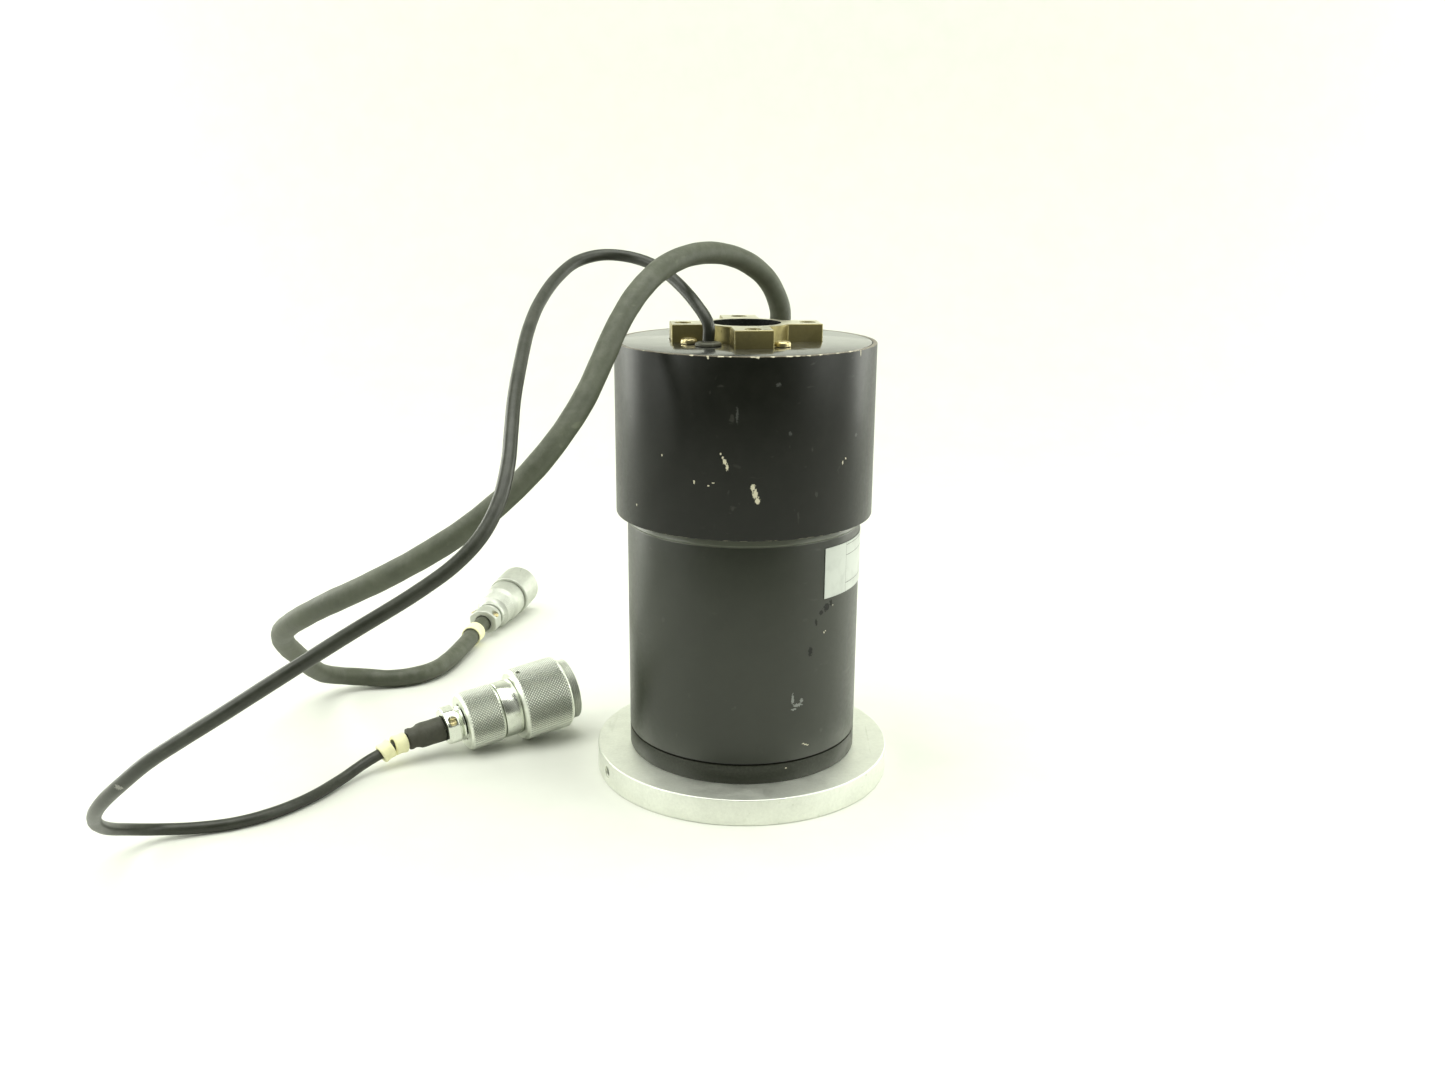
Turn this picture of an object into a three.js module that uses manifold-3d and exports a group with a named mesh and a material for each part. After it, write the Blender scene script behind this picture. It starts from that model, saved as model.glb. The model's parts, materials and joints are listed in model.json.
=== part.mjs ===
// Hollow-shaft rotary encoder, standing on its hub plate with its brass coupling end up.
// Millimetres, +Z up along the shaft, origin at the centre of the hub plate's lower face.
import * as THREE from 'three';
import { mergeVertices } from 'three/addons/utils/BufferGeometryUtils.js';
import Module from 'manifold-3d';

const wasm = await Module();
wasm.setup();

// Driving dimensions
const SHAFT_BORE = 17.5;              // radius of the straight way through the whole encoder
const PLATE = { radius: 75.5, top: 13.5 };
const COLLAR = { radius: 58.5, top: 23.2 };
const SHAFT = { journal: 30, neck: 26, flange: 44, flangeTop: 21, journalTop: 124, top: 205 };
const LOWER = { radius: 58.5, bottom: 24, shoulder: 133, top: 137.5, bearingBore: 47.8 };
const UPPER = { radius: 64, inner: 60, bottom: 137.5, floor: 143, top: 222 };
const COVER = { radius: 61.6, bottom: 216, top: 222 };
const SPIDER = {
  turn: 6.6, reach: 36.5, lobe: 18.5, ring: 21.5, bore: 17.3, flange: 40, flangeTop: 215.7, top: 230.5,
};
const BEARING = { inner: 30.4, outer: 47.5, width: 18, pitch: 38.8, ball: 4.2, balls: 10 };
const FRONT_BEARING = 36;             // height of each bearing's lower face
const REAR_BEARING = 104;
const DISC = { radius: 52, bottom: 168, top: 170 };
const CABLE_RADIUS = 31;              // distance of both cable exits from the axis
const THICK = { turn: 56, radius: 5.25, sides: 10, steps: 36 };
const THIN = { turn: -124, radius: 2.85, sides: 8, steps: 54 };
const COVER_SCREWS = { radius: 32, first: -147 };
const GAP = 0.3;                      // clearance between neighbours that meet

// Colours and finishes
const FINISH = {
  black_paint: { color: 0x17181a, roughness: 0.5, metalness: 0 },
  black_anodised: { color: 0x1b1c1e, roughness: 0.3, metalness: 0.4 },
  aged_brass: { color: 0x7a6a35, roughness: 0.45, metalness: 0.9 },
  turned_aluminium: { color: 0xc9ccd0, roughness: 0.35, metalness: 1 },
  zinc_screw: { color: 0xc8b46a, roughness: 0.35, metalness: 0.9 },
  bright_nickel: { color: 0xc4c6c8, roughness: 0.25, metalness: 1 },
  satin_nickel: { color: 0xa9adab, roughness: 0.5, metalness: 0.9 },
  bearing_steel: { color: 0x9a9da1, roughness: 0.2, metalness: 1 },
  black_rubber: { color: 0x111111, roughness: 0.8, metalness: 0 },
  cable_jacket: { color: 0x26282a, roughness: 0.65, metalness: 0 },
  marker_sleeve: { color: 0xe9e3c4, roughness: 0.6, metalness: 0 },
  label_film: { color: 0xe6e8e4, roughness: 0.4, metalness: 0 },
  clear_glass: { color: 0xbfd4d8, roughness: 0.05, metalness: 0 },
  circuit_board: { color: 0x1f4a2c, roughness: 0.5, metalness: 0 },
  moulded_insert: { color: 0x2b2a28, roughness: 0.5, metalness: 0 },
};

const rad = THREE.MathUtils.degToRad;
const encoder = new THREE.Group();

function material(finish) {
  return new THREE.MeshStandardMaterial(FINISH[finish]);
}

function add(name, geometry, finish, parent = encoder) {
  const mesh = new THREE.Mesh(geometry, material(finish));
  mesh.name = name;
  parent.add(mesh);
  return mesh;
}

// A geometry whose shared corners are merged and whose faces point outwards.
function closed(geometry) {
  const bare = geometry.clone();
  bare.deleteAttribute('normal');
  bare.deleteAttribute('uv');
  const merged = mergeVertices(bare, 1e-4);
  const place = merged.attributes.position;
  const index = merged.index.array;
  const kept = [];
  const [a, b, c] = [new THREE.Vector3(), new THREE.Vector3(), new THREE.Vector3()];
  let volume = 0;
  for (let i = 0; i < index.length; i += 3) {
    const corners = [index[i], index[i + 1], index[i + 2]];
    if (new Set(corners).size < 3) continue;
    kept.push(...corners);
    a.fromBufferAttribute(place, corners[0]);
    b.fromBufferAttribute(place, corners[1]);
    c.fromBufferAttribute(place, corners[2]);
    volume += a.dot(b.cross(c));
  }
  if (volume < 0) kept.reverse();
  merged.setIndex(kept);
  return merged;
}

function solid(geometry) {
  const whole = closed(geometry);
  return new wasm.Manifold(new wasm.Mesh({
    numProp: 3,
    vertProperties: new Float32Array(whole.attributes.position.array),
    triVerts: new Uint32Array(whole.index.array),
  }));
}

function geometryOf(manifold) {
  const mesh = manifold.getMesh();
  const geometry = new THREE.BufferGeometry();
  geometry.setAttribute('position', new THREE.BufferAttribute(new Float32Array(mesh.vertProperties), 3));
  geometry.setIndex(Array.from(mesh.triVerts));
  return geometry;
}

// The first geometry with the rest of the list joined to it.
function joined(first, ...others) {
  return geometryOf(others.reduce((whole, other) => whole.add(solid(other)), solid(first)));
}

// The first geometry with the rest of the list cut away from it.
function cut(first, ...tools) {
  return geometryOf(tools.reduce((whole, tool) => whole.subtract(solid(tool)), solid(first)));
}

// A turned piece about Z from its closed outline of [radius, height] points.
function turned(outline, segments) {
  const points = outline.map(([r, z]) => new THREE.Vector2(r, z));
  if (outline[0][0] > 0) points.push(points[0].clone());
  return closed(new THREE.LatheGeometry(points, segments).rotateX(Math.PI / 2));
}

// A turned piece with square corners: a tube, or a bar where inner is 0.
function tube(inner, outer, bottom, top, segments) {
  return turned([[inner, bottom], [outer, bottom], [outer, top], [inner, top]], segments);
}

function block(width, depth, height, x, y, z) {
  return new THREE.BoxGeometry(width, depth, height).translate(x, y, z);
}

function polar(radius, degrees, z = 0) {
  return new THREE.Vector3(radius * Math.cos(rad(degrees)), radius * Math.sin(rad(degrees)), z);
}

// A turned screw standing along Z: head on top, tip downwards, with a cross or hexagon recess.
function screw({ head, headHeight, shank, length, recess }) {
  const body = turned([
    [0, -length], [shank, -length], [shank, 0], [head, 0],
    [head, headHeight * 0.55], [head * 0.72, headHeight], [0, headHeight],
  ], 10);
  if (recess === 'hex') {
    return cut(body, tube(0, head * 0.5, headHeight * 0.4, headHeight + 1, 6));
  }
  const slot = head * 0.26;
  const depth = headHeight * 1.2;
  return cut(
    body,
    block(head * 1.1, slot, depth, 0, 0, headHeight),
    block(slot, head * 1.1, depth, 0, 0, headHeight),
  );
}

// ---------- Rotor: the plate that is driven, the shaft and what turns with it ----------

const HUB_SCREW_CIRCLE = 37;
const HUB_SCREWS = [45, 135, 225, 315];
const FACE_HOLES = { radius: 66, hole: 3.3, count: 6, depth: 10 };
const RIM_HOLE = { turn: -154.4, height: 6.8, radius: 2.4 };

function hubPlate() {
  const plate = turned([
    [SHAFT_BORE, 0], [PLATE.radius - 0.6, 0], [PLATE.radius, 0.6], [PLATE.radius, PLATE.top - 0.6],
    [PLATE.radius - 0.6, PLATE.top], [SHAFT_BORE, PLATE.top],
  ], 44);
  const tools = [];
  for (const turn of HUB_SCREWS) {
    const { x, y } = polar(HUB_SCREW_CIRCLE, turn);
    tools.push(tube(0, 3, -1, PLATE.top + 1, 8).translate(x, y, 0));
    tools.push(tube(0, 5.4, -1, 6, 10).translate(x, y, 0));
  }
  for (let i = 0; i < FACE_HOLES.count; i += 1) {
    const { x, y } = polar(FACE_HOLES.radius, i * 360 / FACE_HOLES.count);
    tools.push(tube(0, FACE_HOLES.hole, -1, FACE_HOLES.depth, 8).translate(x, y, 0));
  }
  const along = polar(1, RIM_HOLE.turn);
  const drill = tube(0, RIM_HOLE.radius, PLATE.radius - 20, PLATE.radius + 5, 8)
    .rotateY(Math.PI / 2).rotateZ(Math.atan2(along.y, along.x)).translate(0, 0, RIM_HOLE.height);
  tools.push(drill);
  return cut(plate, ...tools);
}

function rimSetScrew() {
  const body = tube(0, RIM_HOLE.radius - 0.35, PLATE.radius - 12, PLATE.radius - 3, 8);
  const socket = tube(0, 1.1, PLATE.radius - 6, PLATE.radius, 6);
  return cut(body, socket).rotateY(Math.PI / 2).rotateZ(rad(RIM_HOLE.turn)).translate(0, 0, RIM_HOLE.height);
}

function hollowShaft() {
  const shaft = turned([
    [SHAFT_BORE, PLATE.top], [SHAFT.flange, PLATE.top], [SHAFT.flange, SHAFT.flangeTop],
    [SHAFT.journal, SHAFT.flangeTop], [SHAFT.journal, SHAFT.journalTop],
    [SHAFT.neck, SHAFT.journalTop], [SHAFT.neck, SHAFT.top], [SHAFT_BORE, SHAFT.top],
  ], 28);
  const holes = HUB_SCREWS.map((turn) => {
    const { x, y } = polar(HUB_SCREW_CIRCLE, turn);
    return tube(0, 2.8, PLATE.top - 1, PLATE.top + 5.5, 8).translate(x, y, 0);
  });
  return cut(shaft, ...holes);
}

function rotor() {
  add('hub_plate', hubPlate(), 'turned_aluminium');
  add('rotor_collar', turned([
    [SHAFT.flange + GAP, PLATE.top], [COLLAR.radius, PLATE.top], [COLLAR.radius, COLLAR.top],
    [SHAFT.flange + GAP, COLLAR.top],
  ], 44), 'black_paint');
  add('hollow_shaft', hollowShaft(), 'bearing_steel');
  add('rim_set_screw', rimSetScrew(), 'bearing_steel');
  HUB_SCREWS.forEach((turn, i) => {
    const body = screw({ head: 4.6, headHeight: 4.5, shank: 2.45, length: 11.5, recess: 'hex' });
    const { x, y } = polar(HUB_SCREW_CIRCLE, turn);
    add(`hub_screw_${i + 1}`, body.rotateX(Math.PI).translate(x, y, 6 - GAP), 'bearing_steel');
  });
  const spacerBottom = FRONT_BEARING + BEARING.width + GAP;
  add('inner_spacer', tube(SHAFT.journal + 0.4, 34, spacerBottom, REAR_BEARING - GAP, 28), 'bearing_steel');
  add('disc_hub', turned([
    [SHAFT.neck + 0.2, 148], [30, 148], [30, 162], [34, 162], [34, DISC.bottom - GAP],
    [SHAFT.neck + 0.2, DISC.bottom - GAP],
  ], 28), 'turned_aluminium');
  add('code_disc', tube(SHAFT.neck + 0.6, DISC.radius, DISC.bottom, DISC.top, 36), 'clear_glass');
  add('disc_clamp_ring', tube(SHAFT.neck + 0.2, 33, DISC.top + GAP, DISC.top + 4, 28), 'turned_aluminium');
  add('shaft_nut', turned([
    [SHAFT.neck + 0.5, SHAFT.journalTop + GAP], [39, SHAFT.journalTop + GAP],
    [39, 131], [SHAFT.neck + 0.5, 131],
  ], 24), 'bearing_steel');
}

// ---------- Bearings: two deep-groove ball bearings, each with its ball cage ----------

function bearing(name, bottom) {
  const top = bottom + BEARING.width;
  const middle = bottom + BEARING.width / 2;
  const deepInner = BEARING.pitch - BEARING.ball - 0.5;
  const deepOuter = BEARING.pitch + BEARING.ball + 0.5;
  add(`${name}_inner_race`, turned([
    [BEARING.inner, bottom], [36, bottom], [36, middle - 4.4], [deepInner, middle - 2.4],
    [deepInner, middle + 2.4], [36, middle + 4.4], [36, top], [BEARING.inner, top],
  ], 24), 'bearing_steel');
  add(`${name}_outer_race`, turned([
    [41.6, bottom], [BEARING.outer, bottom], [BEARING.outer, top], [41.6, top],
    [41.6, middle + 4.4], [deepOuter, middle + 2.4], [deepOuter, middle - 2.4], [41.6, middle - 4.4],
  ], 28), 'bearing_steel');
  const ring = tube(37.4, 40.2, middle - 2, middle + 2, 20);
  const balls = [];
  for (let i = 0; i < BEARING.balls; i += 1) {
    const { x, y } = polar(BEARING.pitch, i * 360 / BEARING.balls);
    balls.push(new THREE.OctahedronGeometry(BEARING.ball, 1).translate(x, y, middle));
  }
  add(`${name}_ball_cage`, joined(ring, ...balls), 'bearing_steel');
}

// ---------- Stator: the two housings, the cover, the spider and what is fixed inside ----------

function lowerHousing() {
  const { radius, bottom, shoulder, top, bearingBore } = LOWER;
  return turned([
    [40.3, bottom], [radius, bottom], [radius, shoulder], [radius - 2, top],
    [49, top], [49, UPPER.floor], [bearingBore, UPPER.floor], [bearingBore, REAR_BEARING - GAP],
    [44, REAR_BEARING - GAP], [44, FRONT_BEARING + BEARING.width + GAP],
    [bearingBore, FRONT_BEARING + BEARING.width + GAP], [bearingBore, FRONT_BEARING - GAP],
    [40.3, FRONT_BEARING - GAP],
  ], 44);
}

function upperHousing() {
  const { radius, inner, bottom, floor, top } = UPPER;
  return turned([
    [49 + GAP, bottom], [radius - 0.8, bottom], [radius, bottom + 0.8], [radius, top],
    [COVER.radius + 0.2, top], [COVER.radius + 0.2, COVER.bottom - GAP], [inner, COVER.bottom - GAP],
    [inner, floor], [49 + GAP, floor],
  ], 44);
}

// The cross of four lobes and the ring between them, grown by clearance on every side.
function spiderOutline(clearance, bottom, top) {
  const height = top - bottom;
  const middle = (top + bottom) / 2;
  const long = 2 * (SPIDER.reach + clearance);
  const wide = SPIDER.lobe + 2 * clearance;
  return joined(
    tube(0, SPIDER.ring + clearance, bottom, top, 28),
    block(long, wide, height, 0, 0, middle),
    block(wide, long, height, 0, 0, middle),
  ).rotateZ(rad(SPIDER.turn));
}

function rearSpider() {
  const body = joined(
    spiderOutline(0, SPIDER.flangeTop - 1, SPIDER.top),
    tube(0, SPIDER.flange, 210, SPIDER.flangeTop, 28),
  );
  const tools = [tube(0, SPIDER.bore, 200, 240, 28)];
  for (let i = 0; i < 4; i += 1) {
    const { x, y } = polar(30.5, SPIDER.turn + 90 * i);
    tools.push(tube(0, 4.2, SPIDER.top - 0.8, SPIDER.top + 1, 10).translate(x, y, 0));
    tools.push(tube(0, 2.5, SPIDER.top - 9, SPIDER.top + 1, 8).translate(x, y, 0));
    const hole = polar(COVER_SCREWS.radius, COVER_SCREWS.first + 90 * i);
    tools.push(tube(0, 2.6, 205, 220, 8).translate(hole.x, hole.y, 0));
  }
  for (const cable of [THICK, THIN]) {
    const { x, y } = polar(CABLE_RADIUS, cable.turn);
    tools.push(tube(0, cable.radius + 2, 205, 220, 12).translate(x, y, 0));
  }
  return cut(body, ...tools);
}

function rearCover() {
  const tools = [spiderOutline(0.4, COVER.bottom - 1, COVER.top + 1)];
  for (let i = 0; i < 4; i += 1) {
    const { x, y } = polar(COVER_SCREWS.radius, COVER_SCREWS.first + 90 * i);
    tools.push(tube(0, 2.6, COVER.bottom - 1, COVER.top + 1, 8).translate(x, y, 0));
  }
  for (const cable of [THICK, THIN]) {
    const { x, y } = polar(CABLE_RADIUS, cable.turn);
    tools.push(tube(0, cable.radius + 2, COVER.bottom - 1, COVER.top + 1, 12).translate(x, y, 0));
  }
  return cut(tube(0, COVER.radius, COVER.bottom, COVER.top, 44), ...tools);
}

function grommet(cable) {
  const { x, y } = polar(CABLE_RADIUS, cable.turn);
  const neck = cable.radius + 1.6;
  const flange = cable.radius + 3.4;
  return turned([
    [0, 211], [neck, 211], [neck, COVER.top + GAP], [flange, COVER.top + GAP],
    [flange, COVER.top + 1.2], [flange - 0.8, COVER.top + 1.9], [0, COVER.top + 1.9],
  ], 12).translate(x, y, 0);
}

const LABEL = { from: -48.5, to: 9, bottom: 104, top: 129, thick: 0.4, facets: 12 };

// A thin film that follows the lower housing's wall.
function labelPlate() {
  const face = new THREE.Shape();
  const inside = LOWER.radius + 0.1;
  for (let i = 0; i <= LABEL.facets; i += 1) {
    const { x, y } = polar(inside + LABEL.thick, LABEL.from + (LABEL.to - LABEL.from) * i / LABEL.facets);
    if (i === 0) face.moveTo(x, y);
    else face.lineTo(x, y);
  }
  for (let i = LABEL.facets; i >= 0; i -= 1) {
    const { x, y } = polar(inside, LABEL.from + (LABEL.to - LABEL.from) * i / LABEL.facets);
    face.lineTo(x, y);
  }
  const film = new THREE.ExtrudeGeometry(face, { depth: LABEL.top - LABEL.bottom, bevelEnabled: false });
  return closed(film.translate(0, 0, LABEL.bottom));
}

const HEAD_TURN = 205;

// A bracket shaped like a C: its jaws reach over and under the code disc's edge.
function readHeadBracket() {
  const outline = new THREE.Shape();
  const corners = [
    [38, 143.3], [58, 143.3], [58, 186], [40, 186], [40, 181], [54, 181], [54, 157], [40, 157], [40, 152],
    [50, 152], [50, 148], [38, 148],
  ];
  corners.forEach(([r, z], i) => (i ? outline.lineTo(r, z) : outline.moveTo(r, z)));
  const bracket = new THREE.ExtrudeGeometry(outline, { depth: 18, bevelEnabled: false });
  return closed(bracket.translate(0, 0, -9).rotateX(Math.PI / 2).rotateZ(rad(HEAD_TURN)));
}

const STANDOFFS = [90, 330, 150];
const BOARD = { inner: 34, outer: 58.5, bottom: 190, top: 191.6 };

function encoderBoard() {
  const board = cut(
    tube(BOARD.inner, BOARD.outer, BOARD.bottom, BOARD.top, 32),
    ...STANDOFFS.map((turn) => {
      const { x, y } = polar(55, turn);
      return tube(0, 1.6, BOARD.bottom - 1, BOARD.top + 1, 6).translate(x, y, 0);
    }),
  );
  const chips = [[20, 12, 10], [65, 14, 14], [118, 10, 8], [180, 16, 10], [250, 12, 12], [300, 10, 10]];
  const parts = chips.map(([turn, width, depth]) => {
    const { x, y } = polar(46, turn);
    return block(depth, width, 3, 0, 0, 0).rotateZ(rad(turn)).translate(x, y, BOARD.top + 1);
  });
  return joined(board, ...parts);
}

function stator() {
  add('lower_housing', lowerHousing(), 'black_paint');
  add('upper_housing', upperHousing(), 'black_paint');
  add('rear_cover', rearCover(), 'black_anodised');
  add('rear_spider', rearSpider(), 'aged_brass');
  for (let i = 0; i < 4; i += 1) {
    const { x, y } = polar(COVER_SCREWS.radius, COVER_SCREWS.first + 90 * i);
    const body = screw({ head: 3.9, headHeight: 2.3, shank: 2.1, length: 11, recess: 'cross' });
    add(`cover_screw_${i + 1}`, body.rotateZ(0.5 * i).translate(x, y, COVER.top + GAP), 'zinc_screw');
  }
  add('thick_cable_grommet', grommet(THICK), 'black_rubber');
  add('thin_cable_grommet', grommet(THIN), 'black_rubber');
  add('rating_label', labelPlate(), 'label_film');
  add('shaft_seal', turned([
    [SHAFT.journal + 0.6, 29], [33, 34], [40, 34], [40, 25.5], [33, 25.5],
  ], 28), 'black_rubber');
  add('bearing_retainer', turned([
    [40.5, REAR_BEARING + BEARING.width + GAP], [LOWER.bearingBore - GAP, REAR_BEARING + BEARING.width + GAP],
    [LOWER.bearingBore - GAP, 128], [40.5, 128],
  ], 28), 'bearing_steel');
  add('read_head_bracket', readHeadBracket(), 'turned_aluminium');
  const away = rad(HEAD_TURN);
  add('light_source', block(12, 14, 6, 46, 0, 177.7).rotateZ(away), 'moulded_insert');
  add('detector_board', block(12, 16, 5, 46, 0, 159.8).rotateZ(away), 'circuit_board');
  add('encoder_board', encoderBoard(), 'circuit_board');
  STANDOFFS.forEach((turn, i) => {
    const { x, y } = polar(55, turn);
    const post = tube(0, 2.6, UPPER.floor + GAP, BOARD.bottom - GAP, 6);
    add(`board_standoff_${i + 1}`, post.translate(x, y, 0), 'zinc_screw');
  });
}

// ---------- Cords: each lies loose from its grommet to its connector ----------

const THICK_ROUTE = [
  [17.3, 25.7, 224.4], [17.2, 25.7, 235], [11.5, 24.6, 248], [2, 18.5, 257], [-11, 7, 262.5],
  [-25, -9, 263], [-38, -26, 258], [-48.5, -41, 248], [-56.5, -54, 235], [-63, -66, 220],
  [-69.5, -78, 205.5], [-78, -89, 192], [-89, -98, 178.5], [-102.5, -104, 165.5], [-118, -107, 153.5],
  [-135, -107, 142.5], [-152, -104, 132.5], [-169, -98, 123], [-185, -89.5, 114], [-199, -79, 105],
  [-211, -66, 96], [-221, -50, 86.5], [-228, -32, 76], [-233, -12, 64.5], [-236.5, 9, 52.5],
  [-240, 30, 40.5], [-243, 51, 28.5], [-243.5, 70, 18], [-238.5, 85, 11], [-228, 93.5, 7],
  [-214, 95.5, 5.5], [-200, 100.5, 5.4], [-190, 111, 5.4], [-184.5, 127, 5.5], [-181.5, 144, 6],
  [-179, 159, 6.8], [-177.2, 174.2, 8], [-174.5, 186.7, 9.5],
].map((point) => new THREE.Vector3(...point));

const THIN_ROUTE = [
  [-17.3, -25.7, 224.4], [-17.4, -25.5, 232], [-23.5, -18.5, 241], [-35.5, -2, 251.5],
  [-45, 7.5, 257], [-57.5, 13, 260.5], [-70, 10.5, 261.5], [-81, 0.5, 259],
  [-88.5, -18, 252.5], [-93, -43, 243.5], [-94, -71.5, 234], [-93.5, -97, 223], [-92.5, -121, 211.5],
  [-91, -138.5, 201.5], [-90, -153.5, 191.5], [-91.5, -166, 180.5], [-96.5, -175.5, 170],
  [-105, -182.5, 161], [-118, -188.5, 152], [-143, -196.5, 137.5], [-157, -200, 129],
  [-171.5, -203, 120], [-186.5, -205, 110.5], [-202, -204.5, 100.5],
  [-218.5, -201, 89], [-232.5, -194.5, 77], [-245, -185, 65.5], [-256, -172.5, 54],
  [-265.5, -157.5, 42.5], [-273.3, -141, 31], [-277.5, -124.5, 20.5], [-277, -109, 12],
  [-269.5, -97.5, 6], [-255.5, -91, 3.5], [-239.5, -85, 3], [-225, -74.5, 3], [-212.5, -58.5, 3],
  [-202.5, -39.5, 3.8], [-192, -23, 7.3], [-175.8, -8.7, 12.5],
].map((point) => new THREE.Vector3(...point));

function cordTube(route, cable) {
  const section = new THREE.Shape();
  for (let i = 0; i < cable.sides; i += 1) {
    const { x, y } = polar(cable.radius, i * 360 / cable.sides);
    if (i === 0) section.moveTo(x, y);
    else section.lineTo(x, y);
  }
  return closed(new THREE.ExtrudeGeometry(section, {
    steps: cable.steps,
    bevelEnabled: false,
    extrudePath: new THREE.CatmullRomCurve3(route, false, 'centripetal'),
  }));
}

const THIN_MARKER = { bore: 3.5, radius: 5.2, length: 6 };
const THICK_MARKER = { bore: 5.9, radius: 6.7, length: 8 };
const MARKER_SIDES = 12;

// A short loose sleeve round a cord, centred at a share of the cord's length.
function sleeve(route, share, { bore, radius, length }) {
  const path = new THREE.CatmullRomCurve3(route, false, 'centripetal');
  const up = new THREE.Vector3(0, 0, 1);
  const along = new THREE.Quaternion().setFromUnitVectors(up, path.getTangentAt(share));
  const { x, y, z } = path.getPointAt(share);
  const ring = tube(bore, radius, -length / 2, length / 2, MARKER_SIDES);
  return ring.applyQuaternion(along).translate(x, y, z);
}

// ---------- Connectors: each in a group whose Z runs forwards along its axis ----------

// A group that lies on the floor: local Z points forwards along the connector, local -X points up.
function lyingGroup({ rear, turn, tilt }) {
  const group = new THREE.Group();
  group.position.set(...rear);
  group.rotation.set(0, Math.PI / 2 - rad(tilt), rad(turn), 'ZYX');
  encoder.add(group);
  return group;
}

const BIG = { rear: [-149.9, 6.6, 16.2], turn: 30.6, tilt: 7, ring: 19.8, nut: 15.7, shell: 15.3 };

const CLAMP_HOLE = 1.7;
const CLAMP_SCREW = { head: 2.1, headHeight: 1.6, shank: 1.2, length: 3, recess: 'cross' };

// The two-bar clamp that grips the cord behind a connector, with its neck and its screw holes.
function cordClamp({ neck, bore, from, to, screws }) {
  const middle = (from + to) / 2;
  const bars = joined(
    tube(0, neck, from, to + 3, 20),
    block(neck * 1.5, neck * 2.3, to - from, 0, 0, middle),
  );
  const holes = [-1, 1].map((side) => {
    const hole = tube(0, CLAMP_HOLE, -neck * 1.5, -neck * 0.75 + CLAMP_SCREW.length + 1, 8);
    return hole.rotateY(Math.PI / 2).translate(0, side * screws, middle);
  });
  return cut(bars, tube(0, bore, from - 1, to + 4, 16), ...holes);
}

// The pair of screws that close a clamp, heads on its upper face.
function clampScrews(name, { neck, from, to, screws }, group) {
  [-1, 1].forEach((side, i) => {
    const body = screw(CLAMP_SCREW).rotateY(-Math.PI / 2);
    body.translate(-neck * 0.75 - GAP, side * screws, (from + to) / 2);
    add(`${name}_${i + 1}`, body, 'zinc_screw', group);
  });
}

const BIG_CLAMP = { neck: 9.6, bore: 7, from: -10.5, to: -3.5, screws: 9 };

function bigConnector() {
  const group = lyingGroup(BIG);
  add('big_connector_boot', turned([
    [3.3, -30], [5.3, -30], [6.7, -24], [6.7, -11], [3.3, -11],
  ], 16), 'black_rubber', group);
  add('big_connector_clamp', cordClamp(BIG_CLAMP), 'bright_nickel', group);
  clampScrews('big_clamp_screw', BIG_CLAMP, group);
  add('big_connector_back_nut', turned([
    [10, 0], [BIG.nut - 0.6, 0], [BIG.nut, 0.6], [BIG.nut, 19.2], [BIG.nut - 0.6, 19.8], [10, 19.8],
  ], 28), 'satin_nickel', group);
  add('big_connector_shell', turned([
    [9.6, 1], [9.6, 20.1], [BIG.shell, 20.1], [BIG.shell, 29.7], [14.6, 29.7], [14.6, 58], [16.6, 58],
    [16.6, 63], [13.6, 63], [13.6, 26], [7, 26], [7, 1],
  ], 28), 'bright_nickel', group);
  add('big_coupling_ring', turned([
    [15, 30], [BIG.ring - 0.8, 30], [BIG.ring, 30.8], [BIG.ring, 56.9], [BIG.ring - 0.8, 57.7], [15, 57.7],
  ], 32), 'satin_nickel', group);
  add('big_connector_insert', contacts(13.2, 40, 50, 5.6, 8), 'moulded_insert', group);
}

const SMALL = { rear: [-174.4, 187, 9.6], turn: 77, tilt: 6.7, ring: 14.2 };
const SMALL_CLAMP = { neck: 8.2, bore: 5.8, from: 0, to: 9, screws: 7.6 };

function smallConnector() {
  const group = lyingGroup(SMALL);
  add('small_connector_clamp', cordClamp(SMALL_CLAMP), 'satin_nickel', group);
  clampScrews('small_clamp_screw', SMALL_CLAMP, group);
  add('small_connector_shell', turned([
    [5.8, 12.5], [9.2, 12.5], [9.2, 15], [11.6, 16.5], [11.6, 27], [13, 30], [13, 41.5], [12, 43],
    [12, 62], [10.5, 62], [10.5, 30], [5.8, 24],
  ], 24), 'satin_nickel', group);
  add('small_coupling_ring', turned([
    [12.4, 43.4], [SMALL.ring - 0.5, 43.4], [SMALL.ring, 43.9], [SMALL.ring, 62.5], [SMALL.ring - 1.8, 65.5],
    [12.4, 65.5],
  ], 28), 'satin_nickel', group);
  add('small_connector_insert', contacts(10.1, 40, 50, 4.4, 6), 'moulded_insert', group);
}

// A moulded disc with its round of contact pins.
function contacts(radius, from, to, circle, count) {
  const pins = [tube(0, 0.9, from + 2, to + 4, 6)];
  for (let i = 0; i < count; i += 1) {
    const { x, y } = polar(circle, i * 360 / count);
    pins.push(tube(0, 0.9, from + 2, to + 4, 6).translate(x, y, 0));
  }
  return joined(tube(0, radius, from, to, 20), ...pins);
}

function cords() {
  add('thick_cable', cordTube(THICK_ROUTE, THICK), 'cable_jacket');
  add('thin_cable', cordTube(THIN_ROUTE, THIN), 'cable_jacket');
  add('thin_cable_marker_1', sleeve(THIN_ROUTE, 0.99, THIN_MARKER), 'marker_sleeve');
  add('thin_cable_marker_2', sleeve(THIN_ROUTE, 0.98, THIN_MARKER), 'marker_sleeve');
  add('thick_cable_marker', sleeve(THICK_ROUTE, 0.976, THICK_MARKER), 'marker_sleeve');
}

stator();
rotor();
bearing('front_bearing', FRONT_BEARING);
bearing('rear_bearing', REAR_BEARING);
cords();
bigConnector();
smallConnector();

export default encoder;
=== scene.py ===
import json
import math

import bmesh
import bpy
from mathutils import Euler, Matrix, Vector


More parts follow.
